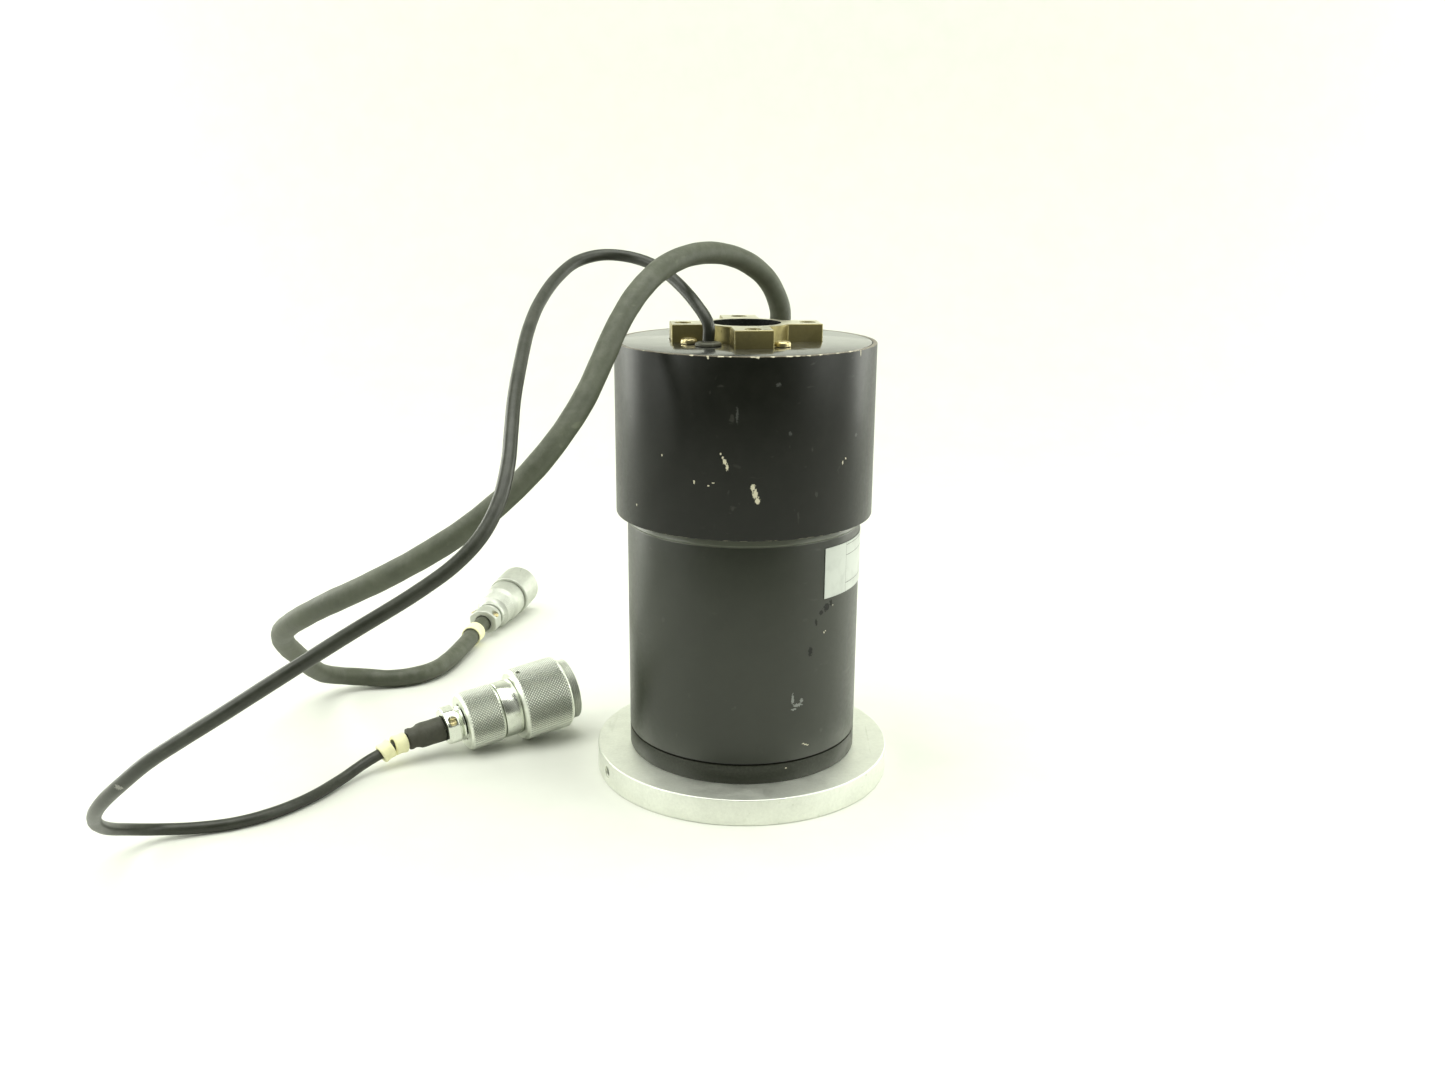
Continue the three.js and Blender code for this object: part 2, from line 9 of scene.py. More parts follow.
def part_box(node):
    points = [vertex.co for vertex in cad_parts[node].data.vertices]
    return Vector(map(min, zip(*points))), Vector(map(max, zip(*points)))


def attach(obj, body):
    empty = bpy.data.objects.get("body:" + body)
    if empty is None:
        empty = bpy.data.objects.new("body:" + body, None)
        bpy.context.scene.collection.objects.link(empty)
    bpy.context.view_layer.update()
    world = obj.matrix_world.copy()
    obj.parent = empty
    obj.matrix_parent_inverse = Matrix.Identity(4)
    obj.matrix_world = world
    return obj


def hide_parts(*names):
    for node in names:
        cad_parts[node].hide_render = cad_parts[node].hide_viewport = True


bl_info = {
    "name": "Hollow-shaft rotary encoder",
    "version": (1, 0, 0),
    "blender": (4, 5, 0),
    "location": "View3D > Sidebar > Encoder",
    "description": "Finished housings, coupling, cables and connectors round the packed encoder",
    "category": "Object",
}

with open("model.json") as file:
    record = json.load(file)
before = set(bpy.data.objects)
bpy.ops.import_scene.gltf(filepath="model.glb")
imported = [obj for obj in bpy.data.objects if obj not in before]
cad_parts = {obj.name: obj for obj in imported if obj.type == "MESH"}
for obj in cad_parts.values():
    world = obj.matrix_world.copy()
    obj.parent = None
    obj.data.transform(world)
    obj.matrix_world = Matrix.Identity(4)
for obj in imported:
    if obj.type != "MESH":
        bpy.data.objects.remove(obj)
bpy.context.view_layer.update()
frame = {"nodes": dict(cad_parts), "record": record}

FULL_TURN = 2 * math.pi
SMOOTH_BELOW = math.radians(32)


def outer(node):
    """Outer radius of an upright round node."""
    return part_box(node)[1][0]


def low(node):
    """Height of a node's lowest point."""
    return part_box(node)[0][2]


def high(node):
    """Height of a node's highest point."""
    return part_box(node)[1][2]


# ---------- Sizes and colours that a user would change ----------


def length(name, description, default):
    return bpy.props.FloatProperty(name=name, description=description, default=default, unit="LENGTH")


def degrees(name, description, default):
    return bpy.props.FloatProperty(
        name=name, description=description, default=math.radians(default), subtype="ANGLE"
    )


def colour(name, description, default):
    return bpy.props.FloatVectorProperty(
        name=name, description=description, default=default, subtype="COLOR", min=0, max=1
    )


class BodySizes(bpy.types.PropertyGroup):
    bore: length("Shaft bore", "Radius of the straight way through the encoder", 0.0175)
    seat: length("Hub seat", "Radius of the shaft's flange", 0.044)
    journal: length("Journal", "Radius of the shaft inside the bearings", 0.030)
    neck: length("Shaft neck", "Radius of the shaft above the rear bearing", 0.026)
    bearing_bore: length("Bearing bore", "Radius of the bearing seats", 0.0478)
    spigot: length("Spigot", "Radius of the lower housing inside the upper one", 0.049)
    shoulder: length("Shoulder", "Height where the lower housing's wall turns in", 0.133)
    bolt_circle: length("Bolt circle", "Distance of the hub screws from the axis", 0.037)
    face_holes: length("Face holes", "Distance of the plate's blind holes from the axis", 0.066)
    seal_bore: length("Seal bore", "Radius of the hole in the lower housing's floor", 0.0403)
    inside_lip: length("Inside lip", "Radius of the wall between the two bearing seats", 0.044)
    inner_wall: length("Inner wall", "Inner radius of the upper housing", 0.060)
    edge: length("Edge", "Rounding of machined edges", 0.0006)


class SpiderSizes(bpy.types.PropertyGroup):
    turn: degrees("Turn", "Angle of the first lobe from the X axis", 6.6)
    reach: length("Reach", "Distance of a lobe's end from the axis", 0.0365)
    lobe: length("Lobe", "Width of each lobe", 0.0185)
    ring: length("Ring", "Outer radius of the ring between the lobes", 0.0215)
    bore: length("Bore", "Radius of the ring's bore", 0.0173)
    pocket: length("Pocket", "Radius of the shallow pocket in each lobe", 0.0042)
    pocket_circle: length("Pocket circle", "Distance of the pockets from the axis", 0.0305)


class CordSizes(bpy.types.PropertyGroup):
    exit_circle: length("Exit circle", "Distance of both cable exits from the axis", 0.031)
    thick_turn: degrees("Thick exit", "Angle of the thick cable's exit", 56)
    thin_turn: degrees("Thin exit", "Angle of the thin cable's exit", -124)
    thick: length("Thick cable", "Diameter of the thick cable", 0.0105)
    thin: length("Thin cable", "Diameter of the thin cable", 0.0057)


class Finishes(bpy.types.PropertyGroup):
    paint: colour("Paint", "Satin black of the upper housing and the collar", (0.0030, 0.0035, 0.0018))
    faded_paint: colour("Faded paint", "Greyer black of the lower housing", (0.0100, 0.0122, 0.0058))
    # neck: painted light on the lower housing's neck chamfer, which faces up under the upper housing's edge,
    # partly rubbed paint
    neck: colour("Neck", "Rubbed paint under the upper housing's edge", (0.16, 0.17, 0.135))
    primer: colour("Primer", "What shows where the paint is chipped", (0.62, 0.58, 0.44))
    anodised: colour("Anodised", "Black anodised cover", (0.012, 0.013, 0.012))
    brass: colour("Brass", "Aged brass of the coupling", (0.33, 0.285, 0.125))
    # This colour is both the brass of rubbed edges and the painted highlight on faces that look up.
    brass_wear_and_sheen: colour("Worn brass", "Bright brass on rubbed edges", (0.80, 0.77, 0.62))
    aluminium: colour("Aluminium", "Turned plate", (0.88, 0.90, 0.825))
    zinc: colour("Zinc", "Yellow zinc plate on the screws", (0.72, 0.62, 0.34))
    nickel: colour("Nickel", "Plating of the connectors", (0.90, 0.93, 0.84))
    steel: colour("Steel", "Ground steel of the shaft and bearings", (0.52, 0.53, 0.54))
    rubber: colour("Rubber", "Grommets and heat-shrink boot", (0.040, 0.040, 0.028))
    jacket: colour("Jacket", "Cable jackets", (0.018, 0.020, 0.013))
    marker: colour("Marker", "Marker sleeves", (0.70, 0.68, 0.42))
    label: colour("Label", "Label film", (0.56, 0.59, 0.55))
    board: colour("Board", "Circuit boards", (0.02, 0.10, 0.045))
    moulding: colour("Moulding", "Moulded plastic parts", (0.035, 0.034, 0.03))


PROPERTY_GROUPS = {
    "encoder_body": BodySizes,
    "encoder_spider": SpiderSizes,
    "encoder_cords": CordSizes,
    "encoder_finishes": Finishes,
}


def sizes(group):
    return getattr(bpy.context.scene, group)


# ---------- Modelling by hand ----------


def deselect():
    if bpy.context.mode != "OBJECT":
        bpy.ops.object.mode_set(mode="OBJECT")
    bpy.ops.object.select_all(action="DESELECT")


def pick(*pieces):
    deselect()
    for piece in pieces:
        piece.select_set(True)
    bpy.context.view_layer.objects.active = pieces[0]


def started(name):
    """The primitive that was just added, with its name."""
    piece = bpy.context.object
    piece.name = name
    piece.data.name = name
    return piece


def trace(name, corners):
    """A line of edges drawn by extruding one point from corner to corner."""
    deselect()
    bpy.ops.mesh.primitive_plane_add(size=0.001, location=(0, 0, 0))
    piece = started(name)
    bpy.ops.object.mode_set(mode="EDIT")
    bpy.ops.mesh.select_mode(type="VERT")
    bpy.ops.mesh.select_all(action="SELECT")
    bpy.ops.mesh.merge(type="CENTER")
    places = [Vector(corner) for corner in corners]
    bpy.ops.transform.translate(value=places[0])
    for here, there in zip(places, places[1:]):
        bpy.ops.mesh.extrude_region_move(TRANSFORM_OT_translate={"value": there - here})
    return piece


def tidy_mesh(piece):
    """Merges doubles and turns the faces outwards."""
    bpy.ops.mesh.select_all(action="SELECT")
    bpy.ops.mesh.remove_doubles(threshold=1e-6)
    bpy.ops.mesh.normals_make_consistent(inside=False)
    bpy.ops.object.mode_set(mode="OBJECT")
    return piece


def turned(name, outline, segments=96, angle=FULL_TURN, turn=0.0):
    """A piece turned about Z from its closed outline of (radius, height) corners."""
    corners = [(r * math.cos(turn), r * math.sin(turn), z) for r, z in outline]
    full = angle == FULL_TURN
    if outline[0][0] > 0 or not full:
        corners.append(corners[0])
    piece = trace(name, corners)
    bpy.ops.mesh.select_all(action="SELECT")
    if not full:
        bpy.ops.mesh.remove_doubles(threshold=1e-6)
        bpy.ops.mesh.edge_face_add()
    bpy.ops.mesh.spin(steps=segments, angle=angle, center=(0, 0, 0), axis=(0, 0, 1))
    return tidy_mesh(piece)


def raised(name, corners, bottom, top):
    """A flat outline filled and extruded upwards."""
    places = [(x, y, bottom) for x, y in corners]
    piece = trace(name, places + places[:1])
    bpy.ops.mesh.select_all(action="SELECT")
    bpy.ops.mesh.remove_doubles(threshold=1e-6)
    bpy.ops.mesh.edge_face_add()
    bpy.ops.mesh.extrude_region_move(TRANSFORM_OT_translate={"value": (0, 0, top - bottom)})
    return tidy_mesh(piece)


def arc(centre, radius, start, end, steps):
    """Points along an arc, angles in degrees, both ends included."""
    points = []
    for i in range(steps + 1):
        angle = math.radians(start + (end - start) * i / steps)
        points.append((centre[0] + radius * math.cos(angle), centre[1] + radius * math.sin(angle)))
    return points


def rounded_outline(corners, radius, steps=5):
    """An outline whose corners are rounded; corners run anticlockwise."""
    points = []
    count = len(corners)
    for i in range(count):
        before, here, after = (Vector(corners[(i + k) % count]) for k in (-1, 0, 1))
        a, b = (before - here).normalized(), (after - here).normalized()
        half = math.acos(max(-1, min(1, a.dot(b)))) / 2
        cut = min(radius / math.tan(half), (before - here).length / 2.1, (after - here).length / 2.1)
        start, end = here + a * cut, here + b * cut
        for k in range(steps + 1):
            t = k / steps
            points.append(tuple(start * (1 - t) ** 2 + here * 2 * t * (1 - t) + end * t * t))
    return points


def apply_modifier(piece, kind, **settings):
    pick(piece)
    bpy.ops.object.modifier_add(type=kind)
    modifier = piece.modifiers[-1]
    for key, value in settings.items():
        setattr(modifier, key, value)
    bpy.ops.object.modifier_apply(modifier=modifier.name)


def soften(piece, width, steps=2, over=30):
    """Rounds the edges sharper than an angle, and smooths what is left."""
    if width:
        apply_modifier(
            piece, "BEVEL", width=width, segments=steps, limit_method="ANGLE",
            angle_limit=math.radians(over), use_clamp_overlap=True,
        )
    pick(piece)
    bpy.ops.object.shade_smooth_by_angle(angle=SMOOTH_BELOW)
    return piece


def rod(radius, bottom, top, place=(0, 0), sides=32):
    """A plain drill or cutter standing along Z."""
    deselect()
    bpy.ops.mesh.primitive_cylinder_add(
        vertices=sides, radius=radius, depth=top - bottom,
        location=(place[0], place[1], (top + bottom) / 2),
    )
    return started("cutter")


def bar(size, place):
    """A plain rectangular cutter."""
    deselect()
    bpy.ops.mesh.primitive_cube_add(size=1, location=place, scale=size)
    return started("cutter")


def settle(piece):
    """Puts a piece's place, turn and scale into its mesh."""
    pick(piece)
    bpy.ops.object.transform_apply(location=True, rotation=True, scale=True)
    return piece


def laid(cutter, place, turn=0.0):
    """Lays an upright cutter down to point away from Z at an angle, and moves it to its place."""
    cutter.matrix_world = (
        Matrix.Translation(place) @ Matrix.Rotation(turn, 4, "Z") @ Matrix.Rotation(math.pi / 2, 4, "Y")
        @ cutter.matrix_world
    )
    return settle(cutter)


def round_places(radius, count, first=0.0):
    """Evenly spaced (x, y) places round the axis."""
    turns = [first + i * FULL_TURN / count for i in range(count)]
    return [(radius * math.cos(turn), radius * math.sin(turn)) for turn in turns]


def cut(piece, cutters):
    """Cuts the joined cutters out of a piece and removes them."""
    pick(*cutters)
    if len(cutters) > 1:
        bpy.ops.object.join()
    cutter = bpy.context.object
    apply_modifier(piece, "BOOLEAN", operation="DIFFERENCE", solver="EXACT", object=cutter)
    bpy.data.objects.remove(cutter)
    return piece


def joined(name, pieces):
    """Several pieces made one object."""
    pick(*pieces)
    bpy.ops.object.join()
    return started(name)


def placed(piece, matrix):
    piece.matrix_world = matrix @ piece.matrix_world
    return settle(piece)


def copied(piece, name):
    pick(piece)
    bpy.ops.object.duplicate(linked=False)
    return started(name)


def select_where(piece, test, kind="FACE"):
    """Opens a piece in edit mode with only the elements that pass a test selected."""
    pick(piece)
    bpy.ops.object.mode_set(mode="EDIT")
    bpy.ops.mesh.select_mode(type=kind)
    bpy.ops.mesh.select_all(action="DESELECT")
    mesh = bmesh.from_edit_mesh(piece.data)
    for element in mesh.faces if kind == "FACE" else mesh.verts:
        element.select = test(element)
    mesh.select_flush_mode()
    bmesh.update_edit_mesh(piece.data)


def knurled(name, radius, bore, bottom, top, depth, around, chamfer):
    """A ring about Z with a diamond knurl between two plain chamfered edges."""
    pitch = FULL_TURN * radius / around
    rows = max(2, 2 * round((top - bottom - 2 * chamfer) / pitch / 2))
    first, last = bottom + chamfer, top - chamfer
    heights = [first + (last - first) * i / rows for i in range(rows + 1)]
    outline = [(bore, bottom), (radius - chamfer, bottom)]
    outline += [(radius, z) for z in heights]
    outline += [(radius - chamfer, top), (bore, top)]
    piece = turned(name, outline, around)
    step = (last - first) / rows

    def proud(vertex):
        x, y, z = vertex.co
        if math.hypot(x, y) < radius - 1e-5 or not first + step / 2 < z < last - step / 2:
            return False
        column = round(math.atan2(y, x) / FULL_TURN * around)
        return (column + round((z - first) / step)) % 2 == 0

    select_where(piece, proud, "VERT")
    grow = 1 + depth / radius
    bpy.ops.transform.resize(value=(grow, grow, 1), center_override=(0, 0, 0))
    select_where(
        piece,
        lambda face: math.hypot(*face.calc_center_median().xy) > radius - chamfer / 4,
    )
    bpy.ops.mesh.quads_convert_to_tris(quad_method="SHORTEST_DIAGONAL")
    bpy.ops.mesh.faces_shade_flat()
    bpy.ops.object.mode_set(mode="OBJECT")
    # relief is 0 at the knurl's low points, where metal() paints shade.
    relief = piece.data.attributes.new(name="relief", type="FLOAT", domain="POINT")
    for vertex, value in zip(piece.data.vertices, relief.data):
        x, y, z = vertex.co
        plain = not first + step / 2 < z < last - step / 2
        value.value = 1.0 if plain or math.hypot(x, y) > radius + depth / 2 else 0.0
    return piece


# ---------- Materials: groups for what several finishes share ----------


def add_node(tree, kind, values=None, **settings):
    """A node with its settings, its numbers set and its incoming links made."""
    node = tree.nodes.new(kind)
    for key, value in settings.items():
        setattr(node, key, value)
    for key, value in (values or {}).items():
        if isinstance(value, bpy.types.NodeSocket):
            tree.links.new(value, node.inputs[key])
        else:
            node.inputs[key].default_value = value
    return node


def maths(tree, operation, a, b=0.0):
    return add_node(tree, "ShaderNodeMath", {0: a, 1: b}, operation=operation).outputs[0]


def spread(tree, value, start, end, low_value=0.0, high_value=1.0):
    """A value stretched from one range to another, clamped."""
    values = {"Value": value, "From Min": start, "From Max": end, "To Min": low_value, "To Max": high_value}
    return add_node(tree, "ShaderNodeMapRange", values).outputs["Result"]


def blend_colour(tree, mask, a, b):
    """Colour a where the mask is 0 and colour b where it is 1."""
    node = tree.nodes.new("ShaderNodeMix")
    node.data_type = "RGBA"
    for socket, value in ((node.inputs[0], mask), (node.inputs[6], a), (node.inputs[7], b)):
        if isinstance(value, bpy.types.NodeSocket):
            tree.links.new(value, socket)
        else:
            socket.default_value = value if isinstance(value, (int, float)) else (*tuple(value)[:3], 1)
    return node.outputs[2]


def new_group(name, inputs, outputs):
    """An empty shader node group with its named sockets."""
    tree = bpy.data.node_groups.new(name, "ShaderNodeTree")
    for socket, value in inputs.items():
        kind = "NodeSocketVector" if isinstance(value, tuple) else "NodeSocketFloat"
        item = tree.interface.new_socket(name=socket, in_out="INPUT", socket_type=kind)
        item.default_value = value
    for socket in outputs:
        tree.interface.new_socket(name=socket, in_out="OUTPUT", socket_type="NodeSocketFloat")
    return tree, tree.nodes.new("NodeGroupInput").outputs, tree.nodes.new("NodeGroupOutput").inputs


def mottle_group():
    """Soft patches, from 0 to 1."""
    tree, given, out = new_group(
        "mottle", {"Vector": (0, 0, 0), "Scale": 40.0, "Low": 0.35, "High": 0.65}, ["Mask"]
    )
    noise = add_node(
        tree, "ShaderNodeTexNoise",
        {"Vector": given["Vector"], "Scale": given["Scale"], "Detail": 6.0, "Roughness": 0.62},
    ).outputs["Fac"]
    tree.links.new(spread(tree, noise, given["Low"], given["High"]), out["Mask"])
    return tree


def scratch_group():
    """Fine crossed scratches, broken up along their length."""
    tree, given, out = new_group("scratches", {"Vector": (0, 0, 0), "Scale": 300.0, "Amount": 0.5}, ["Mask"])
    masks = []
    for turn, stretch in (((0.3, 0.2, 0.9), (1, 0.04, 0.6)), ((1.1, 0.5, 2.3), (0.5, 0.05, 1))):
        turned_vector = add_node(
            tree, "ShaderNodeMapping", {"Vector": given["Vector"], "Rotation": turn, "Scale": stretch}
        ).outputs["Vector"]
        noise = add_node(
            tree, "ShaderNodeTexNoise",
            {"Vector": turned_vector, "Scale": given["Scale"], "Detail": 2.0, "Roughness": 0.4},
        ).outputs["Fac"]
        masks.append(spread(tree, noise, 0.70, 0.76))
    both = maths(tree, "MAXIMUM", masks[0], masks[1])
    patches = add_node(tree, "ShaderNodeTexNoise", {"Vector": given["Vector"], "Scale": 30.0}).outputs["Fac"]
    where = spread(tree, patches, 0.45, 0.6)
    shown = maths(tree, "MULTIPLY", maths(tree, "MULTIPLY", both, where), given["Amount"])
    tree.links.new(shown, out["Mask"])
    return tree


def edge_wear_group():
    """1 on outer edges that are rubbed, broken up by grain."""
    tree, given, out = new_group(
        "edge_wear", {"Vector": (0, 0, 0), "Width": 0.0008, "Amount": 0.7, "Grain": 220.0}, ["Mask"]
    )
    rounded = add_node(tree, "ShaderNodeBevel", {"Radius": given["Width"]}, samples=4).outputs["Normal"]
    true = tree.nodes.new("ShaderNodeNewGeometry").outputs["Normal"]
    facing = add_node(tree, "ShaderNodeVectorMath", {0: rounded, 1: true}, operation="DOT_PRODUCT")
    edge = spread(tree, facing.outputs["Value"], 0.995, 0.86)
    noise = add_node(
        tree, "ShaderNodeTexNoise",
        {"Vector": given["Vector"], "Scale": given["Grain"], "Detail": 5.0, "Roughness": 0.7},
    ).outputs["Fac"]
    sum_of_both = maths(tree, "ADD", maths(tree, "MULTIPLY", edge, given["Amount"]), noise)
    tree.links.new(spread(tree, sum_of_both, 0.86, 1.0), out["Mask"])
    return tree


def dust_group():
    """Settled dust: on faces that look up, in soft patches."""
    tree, given, out = new_group("dust", {"Vector": (0, 0, 0), "Scale": 60.0, "Amount": 0.3}, ["Mask"])
    normal = tree.nodes.new("ShaderNodeNewGeometry").outputs["Normal"]
    up = add_node(tree, "ShaderNodeSeparateXYZ", {"Vector": normal}).outputs["Z"]
    noise = add_node(
        tree, "ShaderNodeTexNoise",
        {"Vector": given["Vector"], "Scale": given["Scale"], "Detail": 8.0, "Roughness": 0.7},
    ).outputs["Fac"]
    facing = spread(tree, up, -0.2, 1.0, 0.25, 1.0)
    patches = maths(tree, "MULTIPLY", facing, spread(tree, noise, 0.42, 0.75))
    shown = maths(tree, "MULTIPLY", patches, given["Amount"])
    tree.links.new(shown, out["Mask"])
    return tree


def lathe_group():
    """The fine lines that turning leaves on faces and walls, as a height."""
    tree, given, out = new_group("lathe_lines", {"Vector": (0, 0, 0), "Pitch": 0.0004}, ["Height"])
    parts = add_node(tree, "ShaderNodeSeparateXYZ", {"Vector": given["Vector"]}).outputs
    flat = add_node(tree, "ShaderNodeCombineXYZ", {"X": parts["X"], "Y": parts["Y"]}).outputs[0]
    radius = add_node(tree, "ShaderNodeVectorMath", {0: flat}, operation="LENGTH").outputs["Value"]
    across = maths(tree, "ADD", radius, parts["Z"])
    line = add_node(
        tree, "ShaderNodeTexNoise",
        {"W": maths(tree, "DIVIDE", across, given["Pitch"]), "Scale": 1.0, "Detail": 3.0, "Roughness": 0.6},
        noise_dimensions="1D",
    ).outputs["Fac"]
    tree.links.new(line, out["Height"])
    return tree


def chip_group():
    """One chip or mark: 1 inside a ragged oval of the given size about its place."""
    tree, given, out = new_group(
        "chip", {"Vector": (0, 0, 0), "Place": (0, 0, 0), "Size": (1, 1, 1), "Ragged": 0.6}, ["Mask"]
    )
    offset = add_node(
        tree, "ShaderNodeVectorMath", {0: given["Vector"], 1: given["Place"]}, operation="SUBTRACT"
    )
    scaled = add_node(
        tree, "ShaderNodeVectorMath", {0: offset.outputs[0], 1: given["Size"]}, operation="DIVIDE"
    ).outputs[0]
    distance = add_node(tree, "ShaderNodeVectorMath", {0: scaled}, operation="LENGTH").outputs["Value"]
    noise = add_node(
        tree, "ShaderNodeTexNoise", {"Vector": given["Vector"], "Scale": 1500.0, "Detail": 4.0}
    ).outputs["Fac"]
    ragged = maths(tree, "MULTIPLY", maths(tree, "SUBTRACT", noise, 0.5), given["Ragged"])
    tree.links.new(spread(tree, maths(tree, "ADD", distance, ragged), 1.0, 0.85), out["Mask"])
    return tree


GROUP_MAKERS = {
    "mottle": mottle_group,
    "scratches": scratch_group,
    "edge_wear": edge_wear_group,
    "dust": dust_group,
    "lathe_lines": lathe_group,
    "chip": chip_group,
}


def effect(tree, name, **values):
    """A shared group placed in a material with its own values; gives its first output."""
    node = tree.nodes.new("ShaderNodeGroup")
    node.node_tree = bpy.data.node_groups.get(name) or GROUP_MAKERS[name]()
    for key, value in values.items():
        socket = node.inputs[key]
        if isinstance(value, bpy.types.NodeSocket):
            tree.links.new(value, socket)
        else:
            socket.default_value = value
    return node.outputs[0]


class Finish:
    """A material under construction: its tree, its shader and its object coordinates."""

    def __init__(self, name, **constants):
        self.material = bpy.data.materials.new(f"{name}_finish")
        self.material.use_nodes = True
        self.tree = self.material.node_tree
        self.shader = self.tree.nodes["Principled BSDF"]
        self.place = self.tree.nodes.new("ShaderNodeTexCoord").outputs["Object"]
        for key, value in constants.items():
            self.shader.inputs[key.replace("_", " ")].default_value = value

    def effect(self, name, **values):
        values.setdefault("Vector", self.place)
        return effect(self.tree, name, **values)

    def mix(self, mask, a, b):
        return blend_colour(self.tree, mask, a, b)

    def range(self, value, low_value, high_value):
        return spread(self.tree, value, 0.0, 1.0, low_value, high_value)

    def feed(self, socket, value):
        self.tree.links.new(value, self.shader.inputs[socket])

    def bump(self, height, strength, distance):
        values = {"Height": height, "Strength": strength, "Distance": distance}
        self.feed("Normal", add_node(self.tree, "ShaderNodeBump", values).outputs["Normal"])


def shade(value, factor):
    """A colour made darker or lighter."""
    return tuple(channel * factor for channel in tuple(value)[:3])


# Chips and marks on the paint: (angle in degrees, height, half width, half height), in millimetres.
UPPER_CHIPS = [
    (-86.4, 163.0, 1.1, 1.6), (-85.4, 159.8, 1.3, 2.4), (-84.5, 156.9, 1.2, 1.7), (-97.9, 174.6, 1.0, 1.3),
    (-96.9, 172.3, 0.7, 1.7), (-99.6, 178.2, 0.4, 0.5), (-98.7, 176.5, 0.5, 0.6), (-110.8, 164.4, 0.4, 0.9),
    (-104.6, 163.2, 0.5, 0.35), (-102.6, 164.6, 0.6, 0.3), (-126.2, 175.1, 0.35, 0.5),
    (-44.4, 170.9, 0.35, 0.9), (-42.6, 172.6, 0.4, 0.5), (-142.5, 148.3, 0.4, 0.6), (32, 160, 0.9, 1.4),
    (118, 190, 0.6, 1.0), (160, 150, 0.8, 0.5),
]
RIM_CHIPS = [
    (-136.7, 222, 0.8, 0.3), (-112, 222, 1.2, 0.4), (-105, 221.7, 0.6, 0.9), (-99.6, 222, 1.7, 0.45),
    (-96, 222, 0.8, 0.3), (-87, 222, 1.2, 0.5), (-85, 221.8, 0.8, 0.6), (-79, 222, 1.2, 0.4),
    (-72, 222, 1.6, 0.4), (-68.5, 222, 1.4, 0.3), (-63.4, 222, 1.0, 0.4), (-58, 222, 1.2, 0.35),
    (-49, 222, 1.0, 0.3), (-41, 222, 1.2, 0.3), (-33.7, 220.7, 0.35, 1.5), (24, 222, 1.3, 0.5),
    (95, 222, 1.1, 0.4), (170, 222, 1.4, 0.5),
]
GREY_SPECKS = [
    (-71.2, 187.3, 0.8, 1.0), (-76.4, 209.4, 1.1, 1.0), (-35.5, 182.5, 1.2, 0.7), (-93, 196, 0.6, 3.5),
]
LOWER_MARKS = [
    (-65.3, 56.0, 0.7, 2.8), (-62.6, 52.6, 2.4, 0.9), (-60.5, 54.6, 1.0, 1.2), (-64.5, 50.8, 1.6, 0.6),
]
LOWER_CHIPS = [
    (-58.9, 31.7, 1.0, 0.3), (-57.6, 31.0, 0.9, 0.3), (-56.4, 30.4, 0.7, 0.3), (-47.8, 86.9, 0.4, 0.5),
    (-46.9, 87.6, 0.4, 0.3), (-42, 99.5, 0.3, 0.3), (70, 60, 0.7, 0.6),
]
COLLAR_CHIPS = [(-68, 20.6, 0.5, 0.3), (40, 18.0, 0.6, 0.4), (150, 19.0, 0.4, 0.3)]
DARK_SPOTS = [
    (-56, 79, 1.2, 2.6), (-46.5, 99.5, 2.2, 2.2), (-50, 97.5, 1.5, 1.2), (-43.5, 101, 1.2, 1.6),
    (-53, 93, 0.8, 1.8),
]


def marks(finish, radius, places, ragged=2.1):
    """All of a list of chips on a wall of that radius, as one mask."""
    total = None
    for angle, height, wide, tall in places:
        x, y = radius * math.cos(math.radians(angle)), radius * math.sin(math.radians(angle))
        place = (x, y, height * 0.001)
        size = (wide * 0.001, wide * 0.001, tall * 0.001)
        mask = finish.effect("chip", Place=place, Size=size, Ragged=ragged)
        total = mask if total is None else maths(finish.tree, "MAXIMUM", total, mask)
    return total


